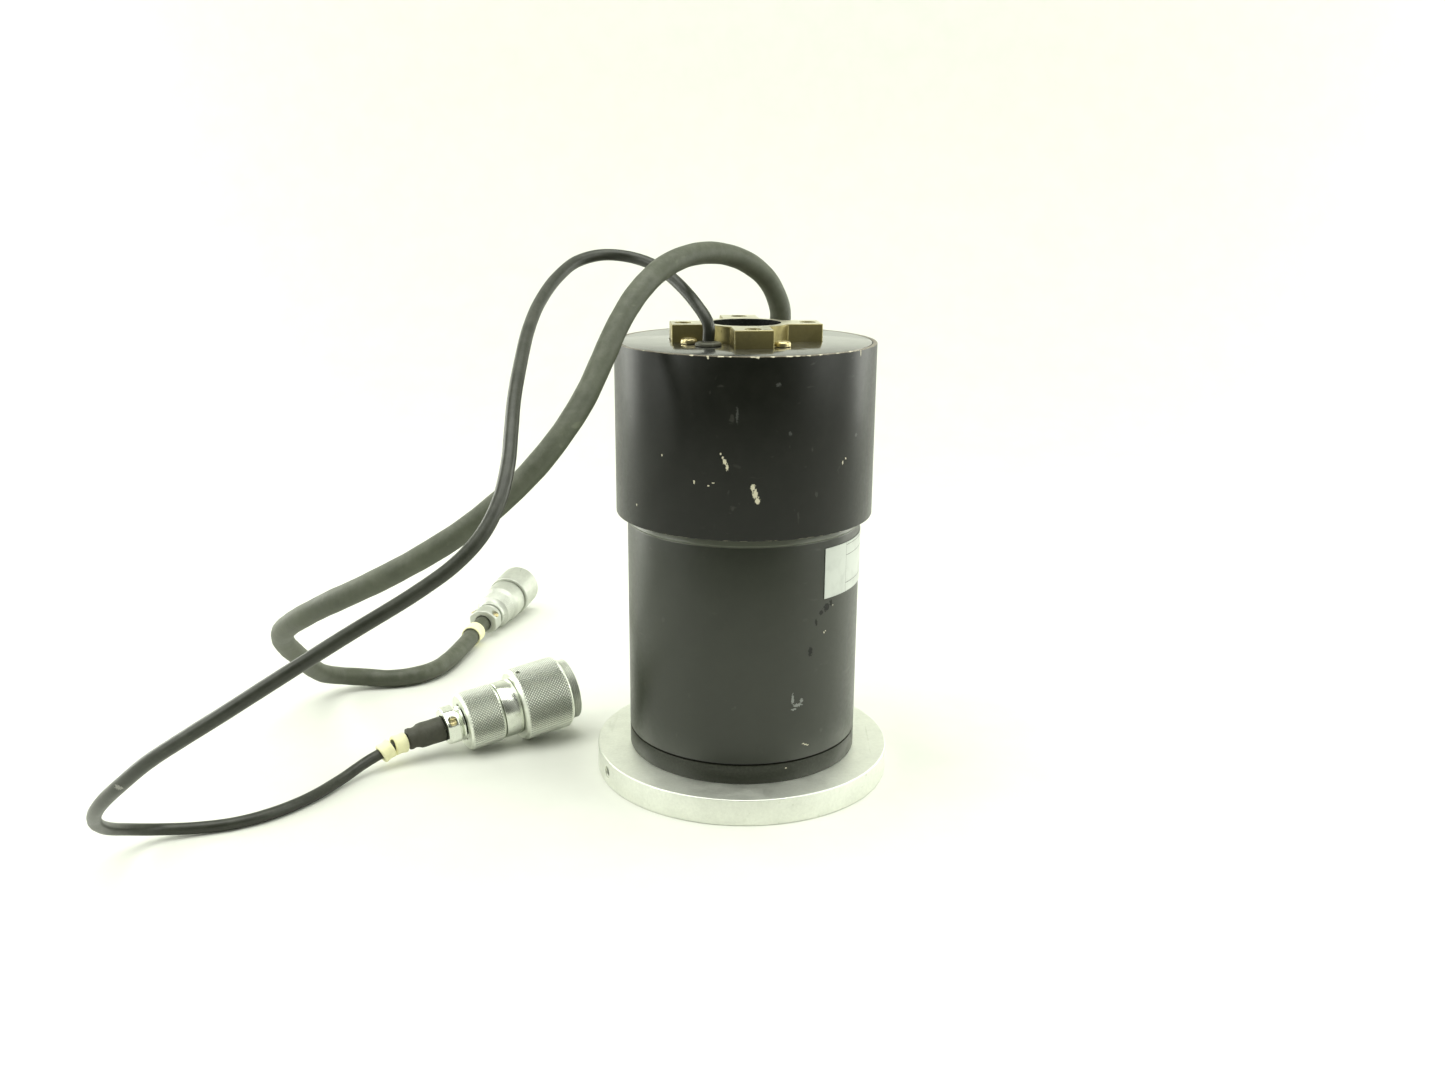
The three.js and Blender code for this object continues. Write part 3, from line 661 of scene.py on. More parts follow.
def paint(
    name, shown, radius, chips, faded=None, faintness=0.45, dark=None, bands=(), wear=0.12, shine=0.5,
    dusty=0.03, specks=90.0,
):
    """Satin black paint with chips to the pale primer, bands of other colours at set heights (some of them
    painted light), rubbed edges, and dust.
    """
    colours = sizes("encoder_finishes")
    finish = Finish(name, IOR=1.48, Specular_IOR_Level=shine)
    patches = finish.effect("mottle", Scale=26.0, Low=0.3, High=0.7)
    fine = finish.effect("mottle", Scale=420.0, Low=0.35, High=0.65)
    base = finish.mix(patches, shown, shade(shown, 1.25))
    dust = finish.effect("dust", Scale=specks, Amount=dusty)
    base = finish.mix(dust, base, (0.30, 0.30, 0.25))
    up = add_node(finish.tree, "ShaderNodeSeparateXYZ", {"Vector": finish.place}).outputs["Z"]
    for start, end, tint, amount in bands:
        rise = spread(finish.tree, up, start - 0.0003, start + 0.0001)
        fall = spread(finish.tree, up, end + 0.0003, end - 0.0001)
        band = maths(finish.tree, "MULTIPLY", maths(finish.tree, "MULTIPLY", rise, fall), amount)
        base = finish.mix(band, base, tint)
    spots = 0.0
    if dark:
        spots = maths(finish.tree, "MULTIPLY", marks(finish, radius, dark, 1.8), 0.75)
        base = finish.mix(spots, base, (0.001, 0.001, 0.001))
    if faded:
        scuffs = maths(finish.tree, "MULTIPLY", marks(finish, radius, faded, 2.6), faintness)
        base = finish.mix(scuffs, base, (0.42, 0.44, 0.42))
    scratches = finish.effect("scratches", Scale=260.0, Amount=0.12)
    base = finish.mix(scratches, base, (0.16, 0.16, 0.14))
    bare = maths(
        finish.tree, "MAXIMUM", marks(finish, radius, chips),
        finish.effect("edge_wear", Width=0.0007, Amount=wear, Grain=320.0),
    )
    finish.feed("Base Color", finish.mix(bare, base, colours.primer))
    rough = finish.range(patches, 0.29, 0.36)
    rough = maths(finish.tree, "ADD", rough, maths(finish.tree, "MULTIPLY", fine, 0.06))
    rough = maths(finish.tree, "ADD", rough, maths(finish.tree, "MULTIPLY", spots, 0.6))
    finish.feed("Roughness", maths(finish.tree, "ADD", rough, maths(finish.tree, "MULTIPLY", bare, 0.2)))
    height = maths(finish.tree, "SUBTRACT", maths(finish.tree, "MULTIPLY", fine, 0.06), bare)
    finish.bump(height, 0.35, 0.0002)
    return finish.material


def anodised():
    """Black anodised aluminium: faint turning lines, smears and settled dust."""
    colours = sizes("encoder_finishes")
    finish = Finish("black_anodised", IOR=1.5, Coat_Weight=0.6, Coat_Roughness=0.12)
    lines = finish.effect("lathe_lines", Pitch=0.0005)
    dust = finish.effect("dust", Scale=110.0, Amount=0.16)
    smear = finish.effect("mottle", Scale=18.0, Low=0.35, High=0.7)
    base = finish.mix(smear, colours.anodised, shade(colours.anodised, 1.9))
    base = finish.mix(dust, base, (0.40, 0.39, 0.33))
    worn = finish.effect("edge_wear", Width=0.0006, Amount=0.35, Grain=260.0)
    finish.feed("Base Color", finish.mix(worn, base, (0.3, 0.3, 0.28)))
    finish.feed("Roughness", finish.range(smear, 0.16, 0.30))
    finish.bump(lines, 0.05, 0.00005)
    return finish.material


def metal(
    name, base, rough, pitch=0.0003, relief=0.12, tarnish=None, worn=None, wear=0.5, dust=0.05, tops=0.0,
    grooves=False, scuffed=0.5, about=None,
):
    """Turned or plated metal: lines, tarnish in patches, bright rubbed edges and a little dust.

    tops paints a highlight in the worn colour on the faces that look up; grooves paints shade into the low
    points of a knurl;
    about is the lying frame whose axis the piece was turned on."""
    finish = Finish(name, Metallic=1.0)
    axis = finish.place
    if about:
        back = about.matrix.inverted()
        values = {"Vector": axis, "Location": back.translation, "Rotation": back.to_euler()}
        axis = add_node(finish.tree, "ShaderNodeMapping", values).outputs["Vector"]
    lines = finish.effect("lathe_lines", Vector=axis, Pitch=pitch)
    patches = finish.effect("mottle", Scale=70.0, Low=0.35, High=0.7)
    grain = finish.effect("mottle", Scale=650.0, Low=0.3, High=0.7)
    shown = finish.mix(patches, base, tarnish or shade(base, 0.82))
    shown = finish.mix(maths(finish.tree, "MULTIPLY", grain, 0.22), shown, shade(base, 0.6))
    edges = finish.effect("edge_wear", Width=0.0006, Amount=wear, Grain=240.0)
    shown = finish.mix(edges, shown, worn or shade(base, 1.15))
    if tops:
        # Painted highlight: faces that look up are lightened towards the worn colour, as if lit from above.
        normal = finish.tree.nodes.new("ShaderNodeNewGeometry").outputs["Normal"]
        up = add_node(finish.tree, "ShaderNodeSeparateXYZ", {"Vector": normal}).outputs["Z"]
        rubbed = maths(finish.tree, "MULTIPLY", spread(finish.tree, up, 0.85, 0.98), tops)
        shown = finish.mix(rubbed, shown, worn)
    if grooves:
        # Painted shade: the knurl's low points darkened towards a tenth of the base colour.
        proud = add_node(finish.tree, "ShaderNodeAttribute", attribute_name="relief").outputs["Fac"]
        deep = spread(finish.tree, proud, 0.05, 0.60, 0.62, 0.0)
        shown = finish.mix(deep, shown, shade(base, 0.10))
    settled = finish.effect("dust", Scale=120.0, Amount=dust)
    finish.feed("Base Color", finish.mix(settled, shown, (0.5, 0.48, 0.42)))
    finish.feed("Metallic", finish.range(settled, 1.0, 0.2))
    scratches = finish.effect("scratches", Scale=380.0, Amount=scuffed)
    uneven = maths(finish.tree, "MULTIPLY", patches, 0.12)
    finish.feed("Roughness", maths(finish.tree, "ADD", maths(finish.tree, "ADD", uneven, rough), scratches))
    finish.bump(lines, relief, 0.00006)
    return finish.material


def soft(name, base, rough, relief=0.25, scale=500.0, dust=0.12, scuff=None):
    """Rubber, jacket and moulded plastic: a fine grain, faint bloom, dust and perhaps one scuffed place."""
    finish = Finish(name, IOR=1.45)
    patches = finish.effect("mottle", Scale=55.0, Low=0.3, High=0.7)
    grain = finish.effect("mottle", Scale=scale, Low=0.3, High=0.7)
    shown = finish.mix(patches, base, shade(base, 1.45))
    shown = finish.mix(finish.effect("dust", Scale=140.0, Amount=dust), shown, (0.36, 0.36, 0.31))
    if scuff:
        rubbed = finish.effect("chip", Place=scuff, Size=(0.0019, 0.0019, 0.0012), Ragged=2.4)
        shown = finish.mix(maths(finish.tree, "MULTIPLY", rubbed, 0.45), shown, (0.50, 0.50, 0.45))
    scuffs = finish.effect("scratches", Scale=220.0, Amount=0.25)
    finish.feed("Base Color", finish.mix(scuffs, shown, shade(base, 4.0)))
    finish.feed("Roughness", finish.range(patches, rough, rough + 0.12))
    finish.bump(grain, relief, 0.00012)
    return finish.material


def label_film():
    """White film with a thin printed frame and one divider line."""
    colours = sizes("encoder_finishes")
    finish = Finish("label_film", IOR=1.46)
    tree = finish.tree
    parts = add_node(tree, "ShaderNodeSeparateXYZ", {"Vector": finish.place}).outputs
    turn = maths(tree, "ARCTAN2", parts["Y"], parts["X"])
    divider, far_edge, wide = math.radians(-32.3), math.radians(7.4), 0.0030
    top_edge, row, bottom_edge, thin = 0.1277, 0.1225, 0.1085, 0.00016
    beyond = maths(tree, "GREATER_THAN", turn, divider)
    lines = None
    for value, place, half in (
        (turn, divider, wide), (turn, far_edge, wide),
        (parts["Z"], top_edge, thin), (parts["Z"], row, thin), (parts["Z"], bottom_edge, thin),
    ):
        gap = maths(tree, "ABSOLUTE", maths(tree, "SUBTRACT", value, place))
        line = maths(tree, "MULTIPLY", maths(tree, "LESS_THAN", gap, half), beyond)
        lines = line if lines is None else maths(tree, "MAXIMUM", lines, line)
    stain = finish.effect("mottle", Scale=90.0, Low=0.45, High=0.8)
    film = finish.mix(stain, colours.label, shade(colours.label, 0.78))
    finish.feed("Base Color", finish.mix(lines, film, (0.12, 0.13, 0.12)))
    finish.feed("Roughness", finish.range(stain, 0.32, 0.5))
    return finish.material


def glass():
    """Clear glass with a faint smear, for the code disc."""
    finish = Finish("clear_glass", Roughness=0.04, IOR=1.5, Transmission_Weight=0.9)
    smear = finish.effect("mottle", Scale=60.0, Low=0.4, High=0.8)
    finish.feed("Base Color", finish.mix(smear, (0.86, 0.93, 0.94), (0.78, 0.86, 0.86)))
    finish.feed("Roughness", finish.range(smear, 0.02, 0.08))
    return finish.material


def all_finishes():
    """Every finish by its name, made once."""
    c = sizes("encoder_finishes")
    upper, lower = outer("upper_housing"), outer("lower_housing")
    made = [
        paint(
            "upper_paint", c.paint, upper, UPPER_CHIPS + RIM_CHIPS, faded=GREY_SPECKS, faintness=0.10,
            bands=[(high("upper_housing") - 0.0001, 1.0, (0.20, 0.17, 0.125), 0.75)], wear=0.42, shine=0.32,
        ),
        paint(
            "black_paint", c.faded_paint, lower, LOWER_CHIPS, faded=LOWER_MARKS, dark=DARK_SPOTS,
            bands=[
                # Painted light: the neck band lightens the chamfer that faces up, partly rubbed paint; the
                # thin line at its lower edge is a painted highlight, partly worn paint.
                (0.1333, low("upper_housing"), c.neck, 0.9), (0.1330, 0.1335, shade(c.neck, 2.2), 0.6),
                (0, low("lower_housing") + 0.0004, (0.0, 0.0, 0.0), 0.8),
            ], shine=0.64,
        ),
        paint(
            "collar_paint", shade(c.paint, 3.8), outer("rotor_collar"), COLLAR_CHIPS, wear=0.10, shine=0.45,
            dusty=0.16, specks=900.0,
        ),
        anodised(),
        # Aged brass: the faces that look up carry a painted highlight.
        metal("aged_brass", c.brass, 0.38, relief=0.10, tarnish=shade(c.brass, 0.55), worn=c.brass_wear_and_sheen,
              wear=0.62, dust=0.10, tops=0.85),
        metal("turned_aluminium", c.aluminium, 0.44, relief=0.16, tarnish=shade(c.aluminium, 0.93),
              dust=0.05),
        metal("zinc_screw", c.zinc, 0.30, relief=0.05, worn=(0.85, 0.82, 0.68), wear=0.45),
        metal("bright_nickel", c.nickel, 0.16, relief=0.05, wear=0.1, dust=0.01, scuffed=0.06, about=BIG),
        # Satin nickel: painted shade in the knurl's grooves.
        metal("satin_nickel", c.nickel, 0.34, relief=0.04, tarnish=shade(c.nickel, 0.97), wear=0.1, dust=0.01,
              grooves=True, about=BIG),
        metal("matte_nickel", shade(c.nickel, 0.70), 0.50, pitch=0.0005, relief=0.35, wear=0.25, dust=0.05,
              about=SMALL),
        # Grommet rubber: the black rubber lightened 1.8 times, painted light where the grommets sit in shade.
        soft("grommet_rubber", shade(c.rubber, 1.8), 0.50, scale=700.0),
        metal("bearing_steel", c.steel, 0.26, relief=0.10, dust=0.02),
        soft("black_rubber", c.rubber, 0.55, scale=700.0),
        soft("cable_jacket", c.jacket, 0.33, relief=0.18, scale=900.0, dust=0.10,
             scuff=(-0.2326, -0.1972, 0.0769)),
        soft("thick_jacket", shade(c.jacket, 3.0), 0.50, relief=0.35, scale=600.0, dust=0.22),
        soft("marker_sleeve", c.marker, 0.45, relief=0.08, scale=500.0, dust=0.05),
        soft("circuit_board", c.board, 0.35, relief=0.10, scale=900.0, dust=0.02),
        soft("moulded_insert", c.moulding, 0.5, relief=0.10, scale=800.0, dust=0.02),
        label_film(),
        glass(),
    ]
    return {material.name.removesuffix("_finish"): material for material in made}


def dress(piece, finish):
    """Gives a piece one finish."""
    piece.data.materials.clear()
    piece.data.materials.append(bpy.data.materials[f"{finish}_finish"])


def second_finish(piece, finish, test):
    """Gives the faces that pass a test another finish."""
    piece.data.materials.append(bpy.data.materials[f"{finish}_finish"])
    select_where(piece, test)
    piece.active_material_index = len(piece.data.materials) - 1
    bpy.ops.object.material_slot_assign()
    bpy.ops.object.mode_set(mode="OBJECT")


def deliver(piece, body, slot, *nodes, finish=None):
    """Says which body a finished piece moves with, its finish, and what it stands for."""
    dress(piece, finish or slot)
    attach(piece, body)
    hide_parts(*(nodes or (piece.name.removesuffix("_finished"),)))


# ---------- Cords ----------

# Points on each cable's centre line from its exit to its connector, in millimetres.
THICK_ROUTE = [
    (17.3, 25.7, 224.4), (17.2, 25.7, 235), (11.5, 24.6, 248), (2, 18.5, 257), (-11, 7, 262.5),
    (-25, -9, 263),
    (-38, -26, 258), (-48.5, -41, 248), (-56.5, -54, 235), (-63, -66, 220), (-69.5, -78, 205.5),
    (-78, -89, 192), (-89, -98, 178.5), (-102.5, -104, 165.5), (-118, -107, 153.5), (-135, -107, 142.5),
    (-152, -104, 132.5), (-169, -98, 123), (-185, -89.5, 114), (-199, -79, 105), (-211, -66, 96),
    (-221, -50, 86.5), (-228, -32, 76), (-233, -12, 64.5), (-236.5, 9, 52.5), (-240, 30, 40.5),
    (-243, 51, 28.5), (-243.5, 70, 18), (-238.5, 85, 11), (-228, 93.5, 7), (-214, 95.5, 5.5),
    (-200, 100.5, 5.4), (-190, 111, 5.4), (-184.5, 127, 5.5), (-181.5, 144, 6), (-179, 159, 6.8),
    (-177.2, 174.2, 8), (-174.5, 186.7, 9.5),
]
THIN_ROUTE = [
    (-17.3, -25.7, 224.4), (-17.4, -25.5, 232), (-23.5, -18.5, 241), (-35.5, -2, 251.5),
    (-45, 7.5, 257), (-57.5, 13, 260.5), (-70, 10.5, 261.5), (-81, 0.5, 259), (-88.5, -18, 252.5),
    (-93, -43, 243.5), (-94, -71.5, 234), (-93.5, -97, 223), (-92.5, -121, 211.5), (-91, -138.5, 201.5),
    (-90, -153.5, 191.5), (-91.5, -166, 180.5), (-96.5, -175.5, 170), (-105, -182.5, 161),
    (-118, -188.5, 152), (-143, -196.5, 137.5), (-157, -200, 129), (-171.5, -203, 120),
    (-186.5, -205, 110.5), (-202, -204.5, 100.5), (-218.5, -201, 89), (-232.5, -194.5, 77),
    (-245, -185, 65.5), (-256, -172.5, 54), (-265.5, -157.5, 42.5), (-273.3, -141, 31),
    (-277.5, -124.5, 20.5),
    (-277, -109, 12), (-269.5, -97.5, 6), (-255.5, -91, 3.5), (-239.5, -85, 3), (-225, -74.5, 3),
    (-212.5, -58.5, 3), (-202.5, -39.5, 3.8), (-192, -23, 7.3), (-175.8, -8.7, 12.5),
]


def smooth_line(route, steps=8):
    """Points in metres along the smooth curve through a route given in millimetres."""
    points = [Vector(point) * 0.001 for point in route]
    points = [points[0] * 2 - points[1], *points, points[-1] * 2 - points[-2]]
    line = []
    for i in range(1, len(points) - 2):
        p0, p1, p2, p3 = points[i - 1:i + 3]
        d0, d1, d2 = ((b - a).length ** 0.5 for a, b in ((p0, p1), (p1, p2), (p2, p3)))
        leave = ((p1 - p0) / d0 - (p2 - p0) / (d0 + d1) + (p2 - p1) / d1) * d1
        arrive = ((p2 - p1) / d1 - (p3 - p1) / (d1 + d2) + (p3 - p2) / d2) * d1
        for k in range(steps):
            t = k / steps
            line.append(
                (2 * (p1 - p2) + leave + arrive) * t ** 3
                + (3 * (p2 - p1) - 2 * leave - arrive) * t ** 2 + leave * t + p1
            )
    return line + [points[-2]]


def line_length(line):
    return sum((b - a).length for a, b in zip(line, line[1:]))


def point_along(line, distance):
    """The place and direction at a distance along a line, from its far end if negative."""
    if distance < 0:
        distance += line_length(line)
    for a, b in zip(line, line[1:]):
        step = (b - a).length
        if distance <= step:
            return a.lerp(b, distance / step), (b - a).normalized()
        distance -= step
    return line[-1], (line[-1] - line[-2]).normalized()


def cord_curve(name, line, radius, lumps):
    """A cord as one smooth open curve; lumps makes its jacket a little uneven."""
    data = bpy.data.curves.new(name, "CURVE")
    data.dimensions = "3D"
    data.bevel_depth = radius
    data.bevel_resolution = 6
    data.use_fill_caps = True
    spline = data.splines.new("POLY")
    spline.points.add(len(line) - 1)
    travelled = 0.0
    for i, place in enumerate(line):
        if i:
            travelled += (place - line[i - 1]).length
        wave = math.sin(travelled * 210) + 0.6 * math.sin(travelled * 487 + 1.3)
        spline.points[i].co = (*place, 1)
        spline.points[i].radius = 1 + lumps * wave
    spline.use_smooth = True
    cord = bpy.data.objects.new(name, data)
    bpy.context.scene.collection.objects.link(cord)
    return cord


def facing_matrix(place, direction):
    """A frame whose Z runs along a direction."""
    return Matrix.Translation(place) @ direction.to_track_quat("Z", "Y").to_matrix().to_4x4()


# ---------- The connectors' own frames ----------


class Lying:
    """A connector's frame: Z runs forwards along it and -X points up, in metres."""

    def __init__(self, rear, turn, tilt):
        turned_by = Euler((0, math.pi / 2 - math.radians(tilt), 0)).to_matrix().to_4x4()
        self.matrix = (
            Matrix.Translation(Vector(rear) * 0.001) @ Matrix.Rotation(math.radians(turn), 4, "Z") @ turned_by
        )

    def put(self, piece):
        return placed(piece, self.matrix)


BIG = Lying((-149.9, 6.6, 16.2), 30.6, 7)
SMALL = Lying((-174.4, 187, 9.6), 77, 6.7)


def pan_head_screw(name, head, tall, shank, deep):
    """A pan head screw standing on Z = 0 with a cross recess."""
    crown = [(head, 0), *arc((head - tall * 0.55, tall * 0.45), tall * 0.55, 0, 80, 6), (0, tall)]
    outline = [(0, -deep), (shank * 0.6, -deep), (shank, -deep + shank * 0.5), (shank, 0), *crown]
    piece = turned(name, outline, 40)
    arm, slot = head * 1.15, head * 0.24
    for size in ((arm, slot, tall * 1.1), (slot, arm, tall * 1.1)):
        cut(piece, [bar(size, (0, 0, tall))])
    return soften(piece, head * 0.03, 1, 40)


class Piece:
    """What every operator here shares."""

    bl_options = {"REGISTER", "UNDO"}


class ENCODER_OT_finishes(Piece, bpy.types.Operator):
    """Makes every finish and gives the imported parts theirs"""

    bl_idname = "encoder.finishes"
    bl_label = "Finishes"

    def execute(self, context):
        made = all_finishes()
        for part in frame["record"]["subparts"]:
            slot = part["material_slot"]
            if slot not in made:
                raise RuntimeError(f"no finish for slot {slot}")
            dress(frame["nodes"][part["node"]], slot)
        return {"FINISHED"}


FIRST_HUB_SCREW = math.radians(45)


class ENCODER_OT_hub(Piece, bpy.types.Operator):
    """The driven plate with its holes, and the collar above it"""

    bl_idname = "encoder.hub"
    bl_label = "Hub plate and collar"

    def execute(self, context):
        body = sizes("encoder_body")
        radius, top = outer("hub_plate"), high("hub_plate")
        plate = turned("hub_plate_finished", [
            (body.bore, 0), (radius, 0), (radius, top), (body.bore, top),
        ], 160)
        soften(plate, body.edge, 3)
        drills = []
        for place in round_places(body.bolt_circle, 4, FIRST_HUB_SCREW):
            drills += [rod(0.003, -0.001, top + 0.001, place), rod(0.0054, -0.001, 0.006, place, 48)]
        drills += [rod(0.0033, -0.001, 0.010, place) for place in round_places(body.face_holes, 6)]
        rim_hole, half_way = math.radians(-154.4), (0, 0, 0.0068)
        drills.append(laid(rod(0.0024, radius - 0.020, radius + 0.005), half_way, rim_hole))
        countersink = laid(rod(0.0031, radius - 0.0008, radius + 0.005), half_way, rim_hole)
        cut(plate, drills)
        cut(plate, [countersink])
        soften(plate, 0)
        deliver(plate, "rotor", "turned_aluminium")
        dress(frame["nodes"]["rim_set_screw"], "black_anodised")
        bottom, crest = low("rotor_collar"), high("rotor_collar")
        collar = turned("rotor_collar_finished", [
            (body.seat + 0.0003, bottom), (outer("rotor_collar"), bottom), (outer("rotor_collar"), crest),
            (body.seat + 0.0003, crest),
        ], 160)
        deliver(soften(collar, 0.0004, 2), "rotor", "black_paint", finish="collar_paint")
        return {"FINISHED"}


class ENCODER_OT_shaft(Piece, bpy.types.Operator):
    """The hollow shaft that is seen down the bore"""

    bl_idname = "encoder.shaft"
    bl_label = "Hollow shaft"

    def execute(self, context):
        body = sizes("encoder_body")
        bottom, top = low("hollow_shaft"), high("hollow_shaft")
        shaft = turned("hollow_shaft_finished", [
            (body.bore, bottom), (body.seat, bottom), (body.seat, 0.021), (body.journal, 0.021),
            (body.journal, 0.124), (body.neck, 0.124), (body.neck, top), (body.bore, top),
        ], 112)
        soften(shaft, 0.0005, 2)
        cut(shaft, [
            rod(0.0028, bottom - 0.001, bottom + 0.0055, place, 24)
            for place in round_places(body.bolt_circle, 4, FIRST_HUB_SCREW)
        ])
        deliver(soften(shaft, 0), "rotor", "bearing_steel")
        return {"FINISHED"}


class ENCODER_OT_housings(Piece, bpy.types.Operator):
    """The narrower lower housing and the wider upper housing"""

    bl_idname = "encoder.housings"
    bl_label = "Housings"

    def execute(self, context):
        body = sizes("encoder_body")
        radius, bottom = outer("lower_housing"), low("lower_housing")
        floor, neck = high("lower_housing"), low("upper_housing")
        bore, lip, seal = body.bearing_bore, body.inside_lip, body.seal_bore
        rear_seat, front_seat, seal_seat = 0.1037, 0.0543, 0.0357
        lower = turned("lower_housing_finished", [
            (seal, bottom), (radius, bottom), (radius, body.shoulder),
            (radius - 0.0006, body.shoulder + 0.0003), (radius - 0.0019, neck), (body.spigot, neck),
            (body.spigot, floor), (bore, floor), (bore, rear_seat), (lip, rear_seat), (lip, front_seat),
            (bore, front_seat), (bore, seal_seat), (seal, seal_seat),
        ], 160)
        deliver(soften(lower, 0.0004, 2), "housing", "black_paint")
        wide, top = outer("upper_housing"), high("upper_housing")
        seat = high("rear_cover") - low("rear_cover") + 0.0003
        upper = turned("upper_housing_finished", [
            (body.spigot + 0.0003, neck), (wide, neck), (wide, top), (outer("rear_cover") + 0.0002, top),
            (outer("rear_cover") + 0.0002, top - seat), (body.inner_wall, top - seat),
            (body.inner_wall, floor),
            (body.spigot + 0.0003, floor),
        ], 180)
        deliver(soften(upper, 0.0005, 2), "housing", "black_paint", finish="upper_paint")
        return {"FINISHED"}


def spider_corners(clearance):
    """The outline of the four lobes and the ring, grown on every side."""
    spider = sizes("encoder_spider")
    reach, half = spider.reach + clearance, spider.lobe / 2 + clearance
    ring = spider.ring + clearance
    meet = math.degrees(math.asin(half / ring))
    points = []
    for i in range(4):
        lobe = rounded_outline([
            (ring * math.cos(math.radians(meet)) - 0.004, -half), (reach, -half), (reach, half),
            (ring * math.cos(math.radians(meet)) - 0.004, half),
        ], 0.0006, 4)
        ends = [p for p in lobe if p[0] > reach - 0.003]
        arc_points = arc((0, 0), ring, meet, 90 - meet, 10)
        for x, y in sorted(ends, key=lambda p: math.atan2(p[1], p[0])) + arc_points:
            angle = math.atan2(y, x) + i * math.pi / 2 + spider.turn
            away = math.hypot(x, y)
            points.append((away * math.cos(angle), away * math.sin(angle)))
    return points


def exits():
    """Where both cables leave the cover: (x, y, cable radius) each."""
    cords = sizes("encoder_cords")
    return [
        (cords.exit_circle * math.cos(turn), cords.exit_circle * math.sin(turn), diameter / 2)
        for turn, diameter in ((cords.thick_turn, cords.thick), (cords.thin_turn, cords.thin))
    ]


COVER_SCREW_CIRCLE = 0.032
FIRST_COVER_SCREW = math.radians(-147)


def cover_screw_places():
    return round_places(COVER_SCREW_CIRCLE, 4, FIRST_COVER_SCREW)


class ENCODER_OT_cover(Piece, bpy.types.Operator):
    """The black end cover with its cut-outs, screws and grommets"""

    bl_idname = "encoder.cover"
    bl_label = "End cover"

    def execute(self, context):
        radius, bottom, top = outer("rear_cover"), low("rear_cover"), high("rear_cover")
        cover = turned("rear_cover_finished", [(0, bottom), (radius, bottom), (radius, top), (0, top)], 160)
        soften(cover, 0.0004, 2)
        cutters = [raised("cutter", spider_corners(0.0004), bottom - 0.001, top + 0.001)]
        cutters += [rod(0.0026, bottom - 0.001, top + 0.001, place, 24) for place in cover_screw_places()]
        cutters += [rod(r + 0.002, bottom - 0.001, top + 0.001, (x, y), 48) for x, y, r in exits()]
        cut(cover, cutters)
        deliver(soften(cover, 0), "housing", "black_anodised")
        first = pan_head_screw("screw_pattern", 0.0039, 0.0023, 0.0021, 0.011)
        for i, (x, y) in enumerate(cover_screw_places()):
            screw = copied(first, f"cover_screw_{i + 1}_finished")
            place = Matrix.Translation((x, y, top + 0.0003)) @ Matrix.Rotation(0.5 * i + 0.2, 4, "Z")
            deliver(placed(screw, place), "housing", "zinc_screw")
        bpy.data.objects.remove(first)
        for name, (x, y, r) in zip(("thick", "thin"), exits()):
            neck, flange = r + 0.0016, r + 0.0034
            grommet = turned(f"{name}_cable_grommet_finished", [
                (0, 0.211), (neck, 0.211), (neck, top + 0.0003), (flange, top + 0.0003),
                (flange, top + 0.0009), *arc((flange - 0.001, top + 0.0009), 0.001, 10, 90, 5),
                (r + 0.0009, top + 0.0019), (r + 0.0002, top + 0.0013), (0, top + 0.0013),
            ], 64)
            placed(grommet, Matrix.Translation((x, y, 0)))
            # The grommets get the lightened rubber, painted light against the shade they sit in.
            deliver(soften(grommet, 0), "housing", "black_rubber", finish="grommet_rubber")
        return {"FINISHED"}


class ENCODER_OT_spider(Piece, bpy.types.Operator):
    """The brass coupling end: a ring with four lobes above the cover"""

    bl_idname = "encoder.spider"
    bl_label = "Brass coupling"

    def execute(self, context):
        spider = sizes("encoder_spider")
        bottom, top = low("rear_spider"), high("rear_spider")
        cover_top = high("rear_cover")
        cross = raised("rear_spider_finished", spider_corners(0), 0.2147, top)
        soften(cross, 0.0005, 3, 40)
        cutters = [rod(spider.bore, bottom - 0.010, top + 0.010, sides=96)]
        for place in round_places(spider.pocket_circle, 4, spider.turn):
            cutters.append(rod(spider.pocket, top - 0.0008, top + 0.001, place, 48))
            cutters.append(rod(0.0018, top - 0.009, top - 0.0007, place, 32))
        cut(cross, cutters)
        wide, crest = 0.040, cover_top - 0.0063
        flange = turned("flange", [
            (spider.bore, bottom), (wide, bottom), (wide, crest), (spider.bore, crest),
        ], 96)
        drills = [rod(0.0026, bottom - 0.001, cover_top, place, 24) for place in cover_screw_places()]
        drills += [rod(r + 0.002, bottom - 0.001, cover_top, (x, y), 48) for x, y, r in exits()]
        cut(flange, drills)
        apply_modifier(cross, "BOOLEAN", operation="UNION", solver="EXACT", object=flange)
        bpy.data.objects.remove(flange)
        deliver(soften(cross, 0), "housing", "aged_brass")
        inside = spider.bore + 0.0001
        second_finish(
            cross, "black_anodised",
            lambda face: abs(face.normal.z) < 0.5 and math.hypot(*face.calc_center_median().xy) < inside,
        )
        return {"FINISHED"}


class ENCODER_OT_label(Piece, bpy.types.Operator):
    """The white film on the lower housing, with a generic printed frame"""

    bl_idname = "encoder.label"
    bl_label = "Label film"

    def execute(self, context):
        inside, bottom, top = outer("lower_housing") + 0.0001, low("rating_label"), high("rating_label")
        outline = [(inside, bottom), (inside + 0.0003, bottom), (inside + 0.0003, top), (inside, top)]
        film = turned(
            "rating_label_finished", outline, 40, angle=math.radians(57.5), turn=math.radians(9)
        )
        deliver(soften(film, 0.0001, 1), "housing", "label_film")
        return {"FINISHED"}


